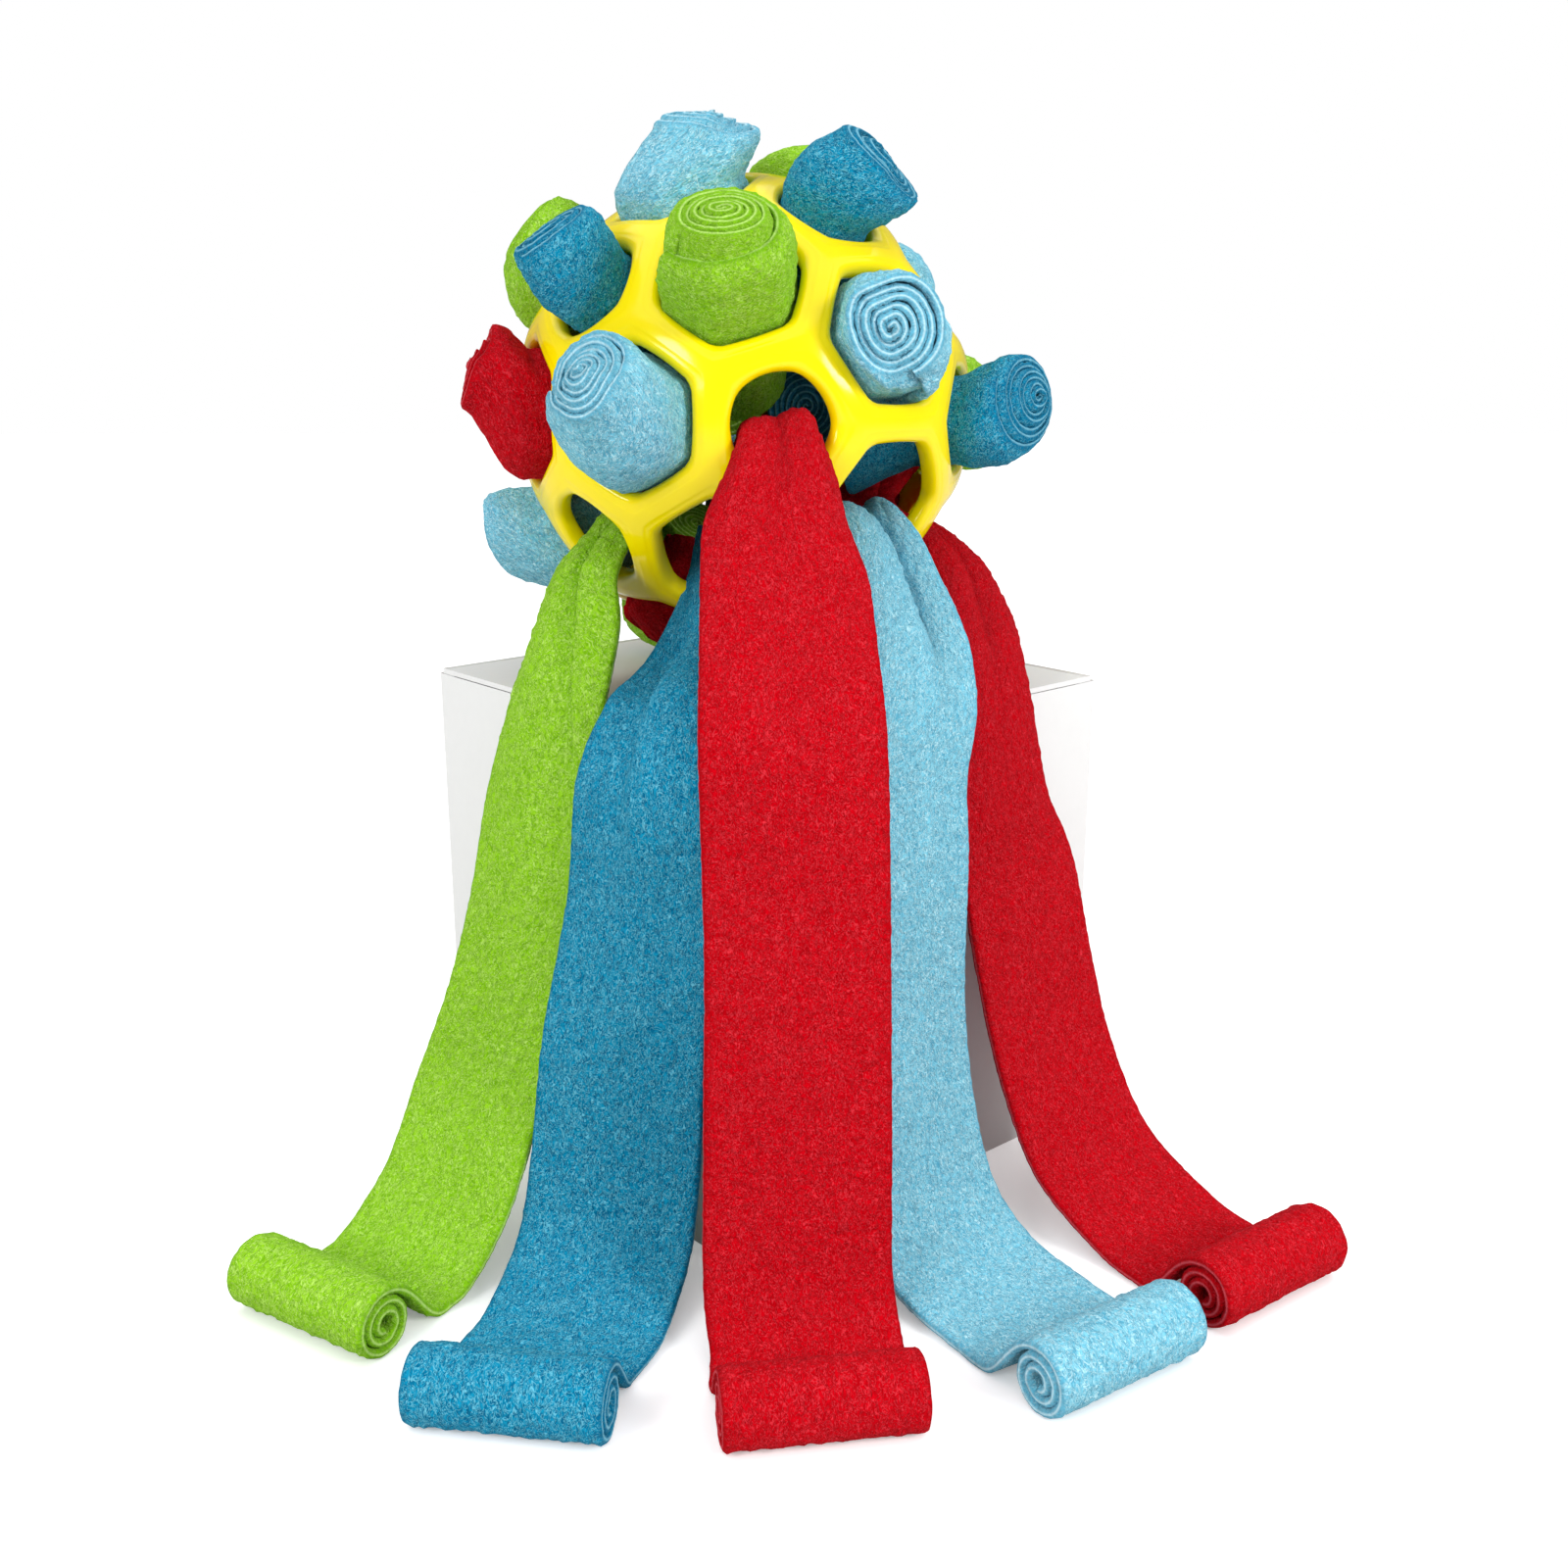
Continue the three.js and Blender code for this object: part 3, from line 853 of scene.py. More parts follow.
@dataclass
class FleeceRoll:
    """One strip of fleece, rolled up and pushed into a hole of the ball.

    Attributes:
        ball: The ball that holds it.
        ring: Ring of its hole, from the front.
        place: Place of its hole on the ring.
        colour: Its fleece.
        reach: Distance of its outer end from the ball's middle.
        radius: Radius outside the ball.
        taper: How much less that is at its outer end.
        right: How far the outer end leans to the right.
        up: How far the outer end leans up.
        cone: How far the outermost turn stays behind the middle one at the outer end.
        spin: Angle of the strip's free end round the roll, in degrees.
        facing: What is added to the hole's axis for the way that the outer end faces: right, away and up.
        inner: Distance of its inner end from the ball's middle.
        droop: How far the inner end sags inside the ball.
        trail: How far the free end of the strip stays behind at the outer end.
    """

    ball: Ball
    ring: int
    place: int
    colour: Fleece
    reach: float
    radius: float
    taper: float
    right: float
    up: float
    cone: float
    spin: float
    facing: tuple[float, float, float] = (0.0, 0.0, 0.0)
    inner: float = 38.0
    droop: float = 0.0
    trail: float = 0.0

    # The winding: share of the radius left in the middle, millimetres a turn, and thickness for each pitch.
    CORE = 0.08
    PITCH = 2.1
    FILL = 1.03
    # The form: slack in the hole, swelling outside it, depth and share of the rounded end, and ovalness.
    GAP = 0.1
    BULGE = 0.9
    CROWN = 5.0
    CROWN_SHARE = 0.1
    OVAL = 0.03
    # In millimetres: below the ball's surface, where it starts to spread; short of its outer end, where it
    # has spread; inside the wall, where the hole squeezes it; and what the radius loses at its inner end.
    LEAVES = 1.5
    HAS_LEFT = 3.0
    NECK = 3.0
    INSIDE = 2.0
    # The outer end: how far its middle stands past the reach, waves in it, how many a turn they are, how
    # fast the outermost turns fall behind, and the angles between which a lagging free end catches up.
    MIDDLE_OUT = 0.5
    WAVE = 0.4
    WAVE_RATE = 0.45
    CONE_POWER = 1.6
    CATCH_UP = (0.5, 5.5)
    # Rounded rims: places from the outer to the inner face, and how far they stand out there.
    RIM_SHARES = np.array([0.12, 0.5, 0.88])
    RIM_BULGE = np.array([0.35, 0.55, 0.35])
    # Height that no roll sinks below, just over the lid, and allowance for rims and nap in the flat width.
    LID = 133.3
    RIMS = 2.0
    # Mesh: turns that get the fine mesh for the nap, stations along it, share of the width that the ball
    # hides, and stations a turn in the rest of the winding.
    FINE_TURN = 1.03
    FINE_STATIONS = 84
    HIDDEN = 0.3
    STATIONS = 34

    def name(self) -> str:
        """Name of the solid that the roll stands for."""
        return f"roll_{self.colour.word}_{self.ring}{self.place}"

    def hole(self) -> Hole:
        """The hole that it is in."""
        return self.ball.holes[self.ring, self.place]

    def turns(self) -> float:
        """Number of turns that the strip makes."""
        return (1 - self.CORE) * self.radius / self.PITCH

    def end_height(self, theta: np.ndarray, share: np.ndarray) -> np.ndarray:
        """Height of the outer end along the winding.

        Args:
            theta: Angle along the winding, from the free end.
            share: Share of the roll's radius there.

        Returns:
            Distance of the end from the ball's middle along the hole's axis.
        """
        hole = self.hole()
        tilt = np.array(self.facing)
        side = hole.across(math.radians(self.spin) + theta)
        slant = -(side @ tilt) * self.radius * share / (1 + hole.axis @ tilt)
        uneven = self.WAVE * np.sin(self.WAVE_RATE * theta + self.spin)
        uneven = uneven - self.trail * (1 - smooth_step(*self.CATCH_UP, theta))
        behind = self.cone * np.clip(share, 0, 1) ** self.CONE_POWER
        return self.reach + self.MIDDLE_OUT - behind + slant + uneven

    def points(
        self, theta: np.ndarray, share: np.ndarray, height: np.ndarray, end: np.ndarray
    ) -> np.ndarray:
        """Places points of the winding. The given arrays fit one another by station and place across.

        Args:
            theta: Angle along the winding, from the free end.
            share: Share of the roll's radius.
            height: Distance along the hole's axis from the ball's middle.
            end: That distance for the outer end.

        Returns:
            The points, with three values each.
        """
        hole, ball = self.hole(), self.ball
        angle = math.radians(self.spin) + theta
        slope = hole.kind.slope(angle, ball.radius)
        in_hole = (ball.radius - ball.rim_depth) * slope / np.hypot(1, slope) - self.GAP
        start = ball.radius - self.LEAVES
        neck = ball.radius - ball.wall - self.NECK
        crown = np.clip((height - end) / self.CROWN + 1, 0, 1.2)
        leaning = np.clip((height - start) / (self.reach - start), 0, 1.1) ** 1.3
        entering = smooth_step(self.inner, neck, height)
        leaving = np.clip((height - start) / (self.reach - self.HAS_LEFT - start), 0, 1)
        outside = (self.radius - self.taper * leaning) * (1 - self.CROWN_SHARE * crown**2)
        width = (self.radius - self.INSIDE) * (1 - entering) + in_hole * entering
        width = width * (1 - leaving) + outside * leaving + 4 * self.BULGE * leaving * (1 - leaving)
        side = hole.across(angle)
        tilt = np.array([self.right, 0.0, self.up])
        tilt = tilt - hole.axis * (tilt @ hole.axis)
        kept = np.sqrt(1 + leaving * (side @ (tilt / (self.reach - start))) ** 2)
        oval = (1 + self.OVAL * leaving * np.cos(2 * angle + self.ring)) * kept
        sideways = (share * width * oval)[..., None] * side
        placed = ball.placed(height[..., None] * hole.axis + sideways + leaning[..., None] * tilt)
        placed[..., 2] -= self.droop * np.clip((neck - height) / (neck - self.inner), 0, 1.1) ** 1.5
        placed[..., 2] = np.maximum(placed[..., 2], self.LID)
        return placed

    def ribbon(self, theta: np.ndarray, along: np.ndarray) -> Shell:
        """Builds a stretch of the wound strip.

        Args:
            theta: Stations along the winding.
            along: Shares of the way from the inner edge to the outer edge.

        Returns:
            The closed stretch.
        """
        station = theta[:, None]
        per_turn = (1 - self.CORE) / self.turns()
        outer = 1 - per_turn * station / (2 * math.pi)
        inner = outer - per_turn * self.FILL
        end = self.end_height(station, outer)
        height = self.inner + (end - self.inner) * along
        top = self.points(station, outer, height, end)
        bottom = self.points(station, inner, height, end)
        share = outer + (inner - outer) * self.RIM_SHARES
        inner_rim = self.points(station, share, self.inner - self.RIM_BULGE, end)
        outer_rim = self.points(station, share, end + self.RIM_BULGE, end)
        steps = np.diff(theta) * (outer[1:, 0] + outer[:-1, 0]) / 2
        length = np.concatenate([[0], np.cumsum(steps)]) * self.radius
        pattern_start = 97 * self.ring + 31 * self.place
        cloth = np.stack(np.broadcast_arrays(height, length[:, None] + pattern_start, 0.0), axis=-1)
        return banded_shell(top, bottom, inner_rim, outer_rim, cloth)

    def build(self, material: bpy.types.Material, nap: NapTree) -> bpy.types.Object:
        """Makes the roll's piece, with a finer mesh for its outermost turn outside the ball.

        Args:
            material: Its fleece.
            nap: Its nap.

        Returns:
            The finished piece.
        """
        full = 2 * math.pi
        fine = np.linspace(0, full * self.FINE_TURN, self.FINE_STATIONS)
        hidden = np.linspace(0, self.HIDDEN, 4)[:-1]
        outer = self.ribbon(fine, np.concatenate([hidden, np.linspace(self.HIDDEN, 1, 24)]))
        count = int(self.STATIONS * self.turns())
        wound = np.linspace(full * self.FINE_TURN, full * self.turns(), count)
        inner = self.ribbon(wound, np.linspace(0, 1, 4))
        piece = mesh_object(f"{self.name()}_fleece", [outer, inner], material)
        nap.apply(piece)
        declare(piece, self.name())
        return piece


@dataclass
class LongStrip:
    """One long strip of fleece, from inside the ball over the box's edge to its roll on the table.

    Attributes:
        name: Name of the solid that it stands for.
        colour: Its fleece.
        roll: Middle of its end roll on the table (x, y) and the way the roll faces, in degrees.
        rows: Sections from inside the ball to the table: x, y, z, facing in degrees, gathered width.
        folds: For some rows, seven points across the strip: share of the half width, and height outwards.
        offset: Where the strip starts on the cloth's pattern, which keeps the strips different.
        flat_length: Length of the flat strip in metres, known when its shell is built.
    """

    name: str
    colour: Fleece
    roll: tuple[float, float, float]
    rows: list[tuple[float, float, float, float, float]]
    folds: dict[int, list[tuple[float, float]]]
    offset: float = 0.0
    flat_length: float = field(init=False, default=0.0)

    # The flat strip, then its end roll: outer radius, millimetres a turn, and radius of its core.
    WIDTH = 42.0
    THICKNESS = CLOTH_DEPTH
    ROLL_RADIUS = 9.0
    ROLL_PITCH = 2.4
    ROLL_CORE = 1.9
    # Behind the roll's middle, in radii: where the cloth leaves the table, and the two handles of its rise.
    LEAD = 2.1
    LOW_HANDLE = 1.3
    HIGH_HANDLE = 1.15
    # Mesh: distance between stations, and samples from row to row, from section point to section point, in
    # the rise and for each turn of the roll.
    SPACING = 1.1
    ROW_STEPS = 14
    ACROSS_STEPS = 6
    RISE_STEPS = 24
    TURN_STEPS = 46
    FLAT = [(round(third / 3, 3), 0.0) for third in range(-3, 4)]

    def section_rows(self) -> np.ndarray:
        """Works out the sections between the rows that have folds of their own.

        Returns:
            Seven section points for each row.
        """
        given = {**self.folds, len(self.rows): self.FLAT}
        keys = sorted(given)
        table = np.array([np.array(given[key]).ravel() for key in keys])
        places = np.arange(len(self.rows) + 1)
        return np.stack([np.interp(places, keys, column) for column in table.T], axis=1)

    def end_profile(self) -> np.ndarray:
        """Draws the side view of the end roll along the middle of the cloth's thickness.

        Returns:
            Distance ahead of the roll's middle, and height, for each point.
        """
        half = self.THICKNESS / 2
        outer = self.ROLL_RADIUS - half
        middle = outer - self.ROLL_PITCH / 2 + half
        top = middle + outer
        way = np.linspace(0, 1, self.RISE_STEPS)[:, None]
        left = 1 - way
        foot = np.array([-self.LEAD * self.ROLL_RADIUS, half])
        low = np.array([-self.LOW_HANDLE * self.ROLL_RADIUS, half])
        high = np.array([-self.HIGH_HANDLE * self.ROLL_RADIUS, top])
        crest = np.array([0.0, top])
        rise = left**3 * foot + 3 * left**2 * way * low + 3 * left * way**2 * high + way**3 * crest
        turns = (outer - self.ROLL_CORE) / self.ROLL_PITCH
        sweep = np.linspace(0, 2 * math.pi * turns, int(self.TURN_STEPS * turns))[1:]
        radius = outer - self.ROLL_PITCH * sweep / (2 * math.pi)
        spiral = np.stack([radius * np.sin(sweep), middle + radius * np.cos(sweep)], axis=1)
        return np.vstack([rise, spiral])

    def path(self) -> tuple[np.ndarray, np.ndarray, np.ndarray, np.ndarray]:
        """The strip's middle line with its frame.

        Returns:
            Points, sideways unit vectors, gathered widths and section points, by station.
        """
        x, y, facing = self.roll
        ahead = np.array([math.sin(math.radians(facing)), -math.cos(math.radians(facing)), 0])
        profile = self.end_profile()
        end = np.array([x, y, 0]) + profile[:, :1] * ahead + profile[:, 1:] * np.array([0, 0, 1])
        rows = np.vstack([np.array(self.rows), [*end[0], facing, self.WIDTH]])
        table = smooth_rows(np.hstack([rows, self.section_rows()]), self.ROW_STEPS)
        tail = np.hstack([end[1:], np.tile(table[-1, 3:], (len(end) - 1, 1))])
        table = np.vstack([table, tail])
        length = np.concatenate([[0], np.cumsum(np.linalg.norm(np.diff(table[:, :3], axis=0), axis=1))])
        stations = np.linspace(0, length[-1], int(length[-1] / self.SPACING))
        table = np.stack([np.interp(stations, length, column) for column in table.T], axis=1)
        turn = np.radians(table[:, 3])
        right = np.stack([np.cos(turn), np.sin(turn), 0 * turn], axis=1)
        return table[:, :3], right, table[:, 4], table[:, 5:].reshape(len(table), -1, 2)

    def shell(self) -> Shell:
        """Builds the strip as a closed sheet with its folds and rounded edges.

        Returns:
            The closed sheet.
        """
        middle, right, width, sections = self.path()
        outward = unit(np.cross(np.gradient(middle, axis=0), right))
        shapes = np.stack([smooth_rows(section, self.ACROSS_STEPS) for section in sections])
        sideways = shapes[..., :1] * (width / 2)[:, None, None] * right[:, None]
        sheet = middle[:, None] + sideways + shapes[..., 1:] * outward[:, None]
        across = np.gradient(sheet, axis=1)
        normal = unit(np.cross(np.gradient(sheet, axis=0), across))
        half = self.THICKNESS / 2
        turn = np.radians([45.0, 0.0, -45.0])[:, None]
        edges = []
        for column, sign in ((0, -1), (-1, 1)):
            out = sign * unit(across[:, column])
            bend = np.sin(turn) * normal[:, None, column] + np.cos(turn) * out[:, None]
            edges.append(sheet[:, None, column] + half * bend)
        stations, count = sheet.shape[:2]
        self.flat_length = round(stations * self.SPACING * MM, 2)
        places = np.linspace(-self.WIDTH / 2, self.WIDTH / 2, count)
        along = np.arange(stations)[:, None] * self.SPACING + self.offset
        cloth = np.stack(np.broadcast_arrays(places, along, 0.0), axis=-1)
        return banded_shell(sheet + half * normal, sheet - half * normal, edges[0], edges[1], cloth)

    def build(self, material: bpy.types.Material, nap: NapTree) -> bpy.types.Object:
        """Makes the strip's piece.

        Args:
            material: Its fleece.
            nap: Its nap.

        Returns:
            The finished piece.
        """
        piece = mesh_object(f"{self.name}_fleece", [self.shell()], material)
        nap.apply(piece)
        declare(piece, self.name)
        return piece


@dataclass
class DisplayBox:
    """The white card box under the ball: a folded body and a tucked lid that leaves a thin gap behind it.

    Attributes:
        side: Length of each side.
        height: Height to the top of the lid.
        turn: Turn about the upright axis, in degrees.
        card: Thickness of the lid that shows at the gap.
        gap: How much narrower the lid is on each side.
        under_lid: Space between the lid and the body.
        softness: Radius of the body's upright edges.
        steps: Mesh points along a wall.
    """

    side: float = 131.0
    height: float = 133.0
    turn: float = 41.7
    card: float = 1.4
    gap: float = 1.1
    under_lid: float = 0.2
    softness: float = 1.2
    steps: int = 24

    def block(self, half: float, low: float, high: float, softness: float, steps: int) -> Shell:
        """Builds a block with rounded upright edges, whose top and underside lie sunk inside their rims.

        Args:
            half: Half its width.
            low: Height of its lower rim.
            high: Height of its upper rim.
            softness: Radius of its upright edges, and how far the top and the underside are sunk.
            steps: Mesh points along a side.

        Returns:
            The closed block.
        """
        arc = np.linspace(0, math.pi / 2, 4)
        inset = half - softness
        wall = np.stack([np.full(steps, half), np.linspace(-inset, inset, steps), np.zeros(steps)], axis=1)
        corner = np.stack([inset + softness * np.cos(arc), inset + softness * np.sin(arc), 0 * arc], axis=1)
        quarter = np.vstack([wall, corner[1:-1]])
        outline = np.vstack([turned(quarter, 90 * k) for k in range(4)])
        sunk = softness * (1 - np.sin(arc))
        walls = np.linspace(low + softness, high - softness, steps)[1:-1]
        heights = np.concatenate([low + sunk, walls, high - sunk[::-1]])
        insets = np.concatenate([sunk, 0 * walls, sunk[::-1]])
        rings = [outline * (half - pulled) / half + [0, 0, z] for z, pulled in zip(heights, insets)]
        count = len(outline)
        faces = ring_faces(len(rings), count)
        faces.append(tuple(range(count))[::-1])
        faces.append(tuple((len(rings) - 1) * count + i for i in range(count)))
        return Shell.plain(turned(np.vstack(rings), self.turn), faces)

    def build(self, material: bpy.types.Material) -> bpy.types.Object:
        """Makes the box's piece, with its lid set forward so that the gap shows behind it.

        Args:
            material: Its card.

        Returns:
            The finished piece.
        """
        half = self.side / 2
        under = self.height - self.card
        body = self.block(half, 0.0, under - self.under_lid, self.softness, self.steps)
        lid = self.block(half - self.gap, under, self.height, self.card / 3, 3)
        lid.points[:, 1] -= math.hypot(self.gap, self.gap)
        piece = mesh_object("display_box_card", [body, lid], material)
        piece.data.shade_flat()
        declare(piece, "display_box")
        return piece


@dataclass
class Studio:
    """Pale floor, soft light and the photograph's viewpoint.

    Attributes:
        eye: Place of the camera in millimetres.
        pitch: How far it looks down, in degrees.
        focal_pixels: Its focal length in pixels of the photograph.
        picture: Width of the photograph in pixels.
        sensor: Width of the camera's sensor in millimetres.
        ambient: Strength of the light from all round.
        mirrored: Strength of that light in reflections.
        ceiling: Strength of the even light from above.
        ceiling_spread: Angle that it comes from, in degrees.
        bounce: Share of light that the floor throws back at the object.
        floor_tone: Share of light that the floor shows to the camera.
        floor_glow: What is added to that, so that the floor is as pale as in the photograph.
        floor_reach: How far the floor goes, in metres.
    """

    eye: tuple[float, float, float] = (5.7, -465.5, 229.0)
    pitch: float = 15.5
    focal_pixels: float = 1720.0
    picture: float = 1600.0
    sensor: float = 36.0
    ambient: float = 0.45
    mirrored: float = 0.25
    ceiling: float = 1.7
    ceiling_spread: float = 100.0
    bounce: float = 0.68
    floor_tone: float = 0.93
    floor_glow: float = 0.25
    floor_reach: float = 3.0

    # Lights: name, place in metres, what it looks at, width and power in watts.
    LIGHTS = (
        ("key", (-0.9, -1.1, 0.8), (0.0, 0.0, 0.15), 0.6, 11.0),
        ("fill", (1.2, -0.9, 0.8), (0.0, 0.0, 0.15), 0.6, 15.5),
    )

    def build(self) -> None:
        """Makes the camera, the surroundings, the lights and the floor."""
        bpy.context.scene.view_settings.view_transform = "Standard"
        self.camera()
        self.surroundings()
        self.lamps()
        self.floor()

    def camera(self) -> None:
        """Makes the photograph's viewpoint."""
        scene = bpy.context.scene
        data = bpy.data.cameras.new("viewpoint")
        data.sensor_width = self.sensor
        data.lens = self.sensor * self.focal_pixels / self.picture
        data.clip_start = 10 * MM
        camera = bpy.data.objects.new("viewpoint", data)
        camera.location = [value * MM for value in self.eye]
        camera.rotation_euler = (math.radians(90 - self.pitch), 0, 0)
        scene.collection.objects.link(camera)
        scene.camera = camera

    def surroundings(self) -> None:
        """Makes the light from all round, which is white to the camera and weaker in reflections."""
        world = bpy.data.worlds.new("studio")
        world.use_nodes = True
        tree = world.node_tree
        path = add_node(tree, "ShaderNodeLightPath").outputs
        mirrored = add_node(
            tree,
            "ShaderNodeMapRange",
            {"Value": path["Is Glossy Ray"], "To Min": self.ambient, "To Max": self.mirrored},
        )
        strength = add_node(
            tree, "ShaderNodeMapRange", {"Value": path["Is Camera Ray"], "To Min": mirrored, "To Max": 1.0}
        )
        background = tree.nodes["Background"]
        background.inputs["Color"].default_value = (1, 1, 1, 1)
        tree.links.new(strength.outputs["Result"], background.inputs["Strength"])
        bpy.context.scene.world = world

    def lamps(self) -> None:
        """Makes the even light from above and the two lamps."""
        objects = bpy.context.scene.collection.objects
        sky = bpy.data.lights.new("ceiling", "SUN")
        sky.energy = self.ceiling
        sky.angle = math.radians(self.ceiling_spread)
        objects.link(bpy.data.objects.new("ceiling", sky))
        for name, place, target, width, power in self.LIGHTS:
            lamp = bpy.data.lights.new(name, "AREA")
            lamp.shape = "DISK"
            lamp.size = width
            lamp.energy = power
            light = bpy.data.objects.new(name, lamp)
            light.location = place
            from_target = np.array(place) - np.array(target)
            tilt = math.atan2(math.hypot(from_target[0], from_target[1]), from_target[2])
            light.rotation_euler = (tilt, 0, math.atan2(from_target[0], -from_target[1]))
            objects.link(light)

    def floor(self) -> None:
        """Makes the floor of matt white paper, a bright and even ground with soft shadows on it."""
        material, tree, shader = new_material(
            "matt_white_sweep", {"Emission Color": (1, 1, 1, 1), "Roughness": 0.9}
        )
        seen = add_node(tree, "ShaderNodeLightPath").outputs["Is Camera Ray"]
        tone = add_node(
            tree, "ShaderNodeMapRange", {"Value": seen, "To Min": self.bounce, "To Max": self.floor_tone}
        )
        glow = add_node(tree, "ShaderNodeMapRange", {"Value": seen, "To Max": self.floor_glow})
        tree.links.new(tone.outputs["Result"], shader.inputs["Base Color"])
        tree.links.new(glow.outputs["Result"], shader.inputs["Emission Strength"])
        reach = self.floor_reach
        mesh = bpy.data.meshes.new("floor")
        corners = [(-reach, -reach, 0), (reach, -reach, 0), (reach, reach, 0), (-reach, reach, 0)]
        mesh.from_pydata(corners, [], [(0, 1, 2, 3)])
        mesh.materials.append(material)
        piece = bpy.data.objects.new("floor", mesh)
        bpy.context.scene.collection.objects.link(piece)


# Rolls: ring, place, fleece, reach, radius, taper, lean to the right and up, cone, angle of the free end,
# facing, and for some of them the place and the sag of the inner end and the lag of the free end.
ROLLS = (
    (1, 0, Fleece.SKY, 68, 13.4, 0.0, -11, -4, 0.5, 170, (-0.16, -0.15, -0.2)),
    (1, 3, Fleece.SKY, 79, 15.4, 2.5, 0.5, 12, 4, 40, (-0.1, 0.1, 0.4)),
    (1, 4, Fleece.GREEN, 83, 15.2, 1.5, 0, 0, 4, 0, (0.0, 0.1, 0.5), 33, 9, 7),
    (2, 0, Fleece.BLUE, 76, 15.0, 0.5, 8, -4, 1.5, 200, (0.4, 0.0, 0.0)),
    (2, 1, Fleece.BLUE, 79, 15.5, 1.0, 1, 6, 4, 250, (0.0, -0.4, 0.2), 31, 8),
    (2, 2, Fleece.RED, 74, 13.0, 1.0, 0, 0, 3, 80, (0.0, 0.0, 0.0)),
    (2, 4, Fleece.BLUE, 77.5, 13.2, 0.5, 2.5, 3, 1.5, 300, (0.0, 0.2, 0.4)),
    (3, 2, Fleece.RED, 68, 13.0, 1.0, 7, 0, 3, 20, (0.0, 0.0, 0.0)),
    (3, 3, Fleece.RED, 73, 14.6, 3.0, 0, 12, 2, 120, (0.0, 0.1, 0.3)),
    (3, 4, Fleece.SKY, 74, 14.6, 1.0, 12, 0, 2, 300, (0.3, 0.0, 0.0)),
    (4, 0, Fleece.GREEN, 73, 13.5, 2.0, 3, 0, 3, 330, (0.0, 0.0, 0.0)),
    (4, 1, Fleece.GREEN, 78, 14.0, 1.0, 0, -4, 4, 70, (0.0, 0.0, 0.0)),
    (4, 2, Fleece.BLUE, 80, 15.0, 1.0, 0, 0, 3, 160, (0.0, 0.0, 0.1)),
    (4, 3, Fleece.SKY, 77, 14.5, 1.0, 0, 13, 3, 90, (0.0, 0.1, 0.22)),
    (4, 4, Fleece.GREEN, 74, 15.0, 0.5, 5, 2, 2, 10, (0.1, 0.0, 0.0)),
    (5, 0, Fleece.SKY, 75, 13.0, 1.0, 0, -1, 4, 190, (0.0, 0.0, 0.1)),
    (5, 1, Fleece.RED, 77, 13.0, 1.0, 0, 0, 4, 100, (0.0, 0.0, 0.0)),
    (5, 2, Fleece.GREEN, 77, 13.5, 1.0, 0, 0, 3, 290, (0.0, 0.0, 0.1)),
    (5, 3, Fleece.BLUE, 72, 13.0, 1.5, 2, 0, 4, 50, (0.0, 0.0, 0.0)),
    (5, 4, Fleece.BLUE, 72, 12.5, 1.0, 3, 1, 3, 220, (0.0, 0.0, 0.0)),
    (6, 0, Fleece.RED, 78, 15.0, 1.0, -2, 2, 5, 130, (0.0, 0.1, 0.2)),
    (6, 1, Fleece.BLUE, 76, 15.5, 2.0, 2, 0, 3, 340, (0.1, 0.0, 0.0)),
    (6, 2, Fleece.SKY, 79, 16.2, 1.5, 0, 2, 5, 60, (0.0, 0.0, 0.2), 38, -3),
    (6, 3, Fleece.RED, 75, 15.2, 1.5, -2, 0, 4, 240, (0.0, 0.0, 0.0)),
    (6, 4, Fleece.SKY, 78, 14.8, 1.0, 0, 3, 5, 170, (0.0, 0.1, 0.0)),
    (7, 0, Fleece.GREEN, 77, 13.5, 1.0, 0, 3, 4, 280, (0.0, 0.0, 0.1)),
)

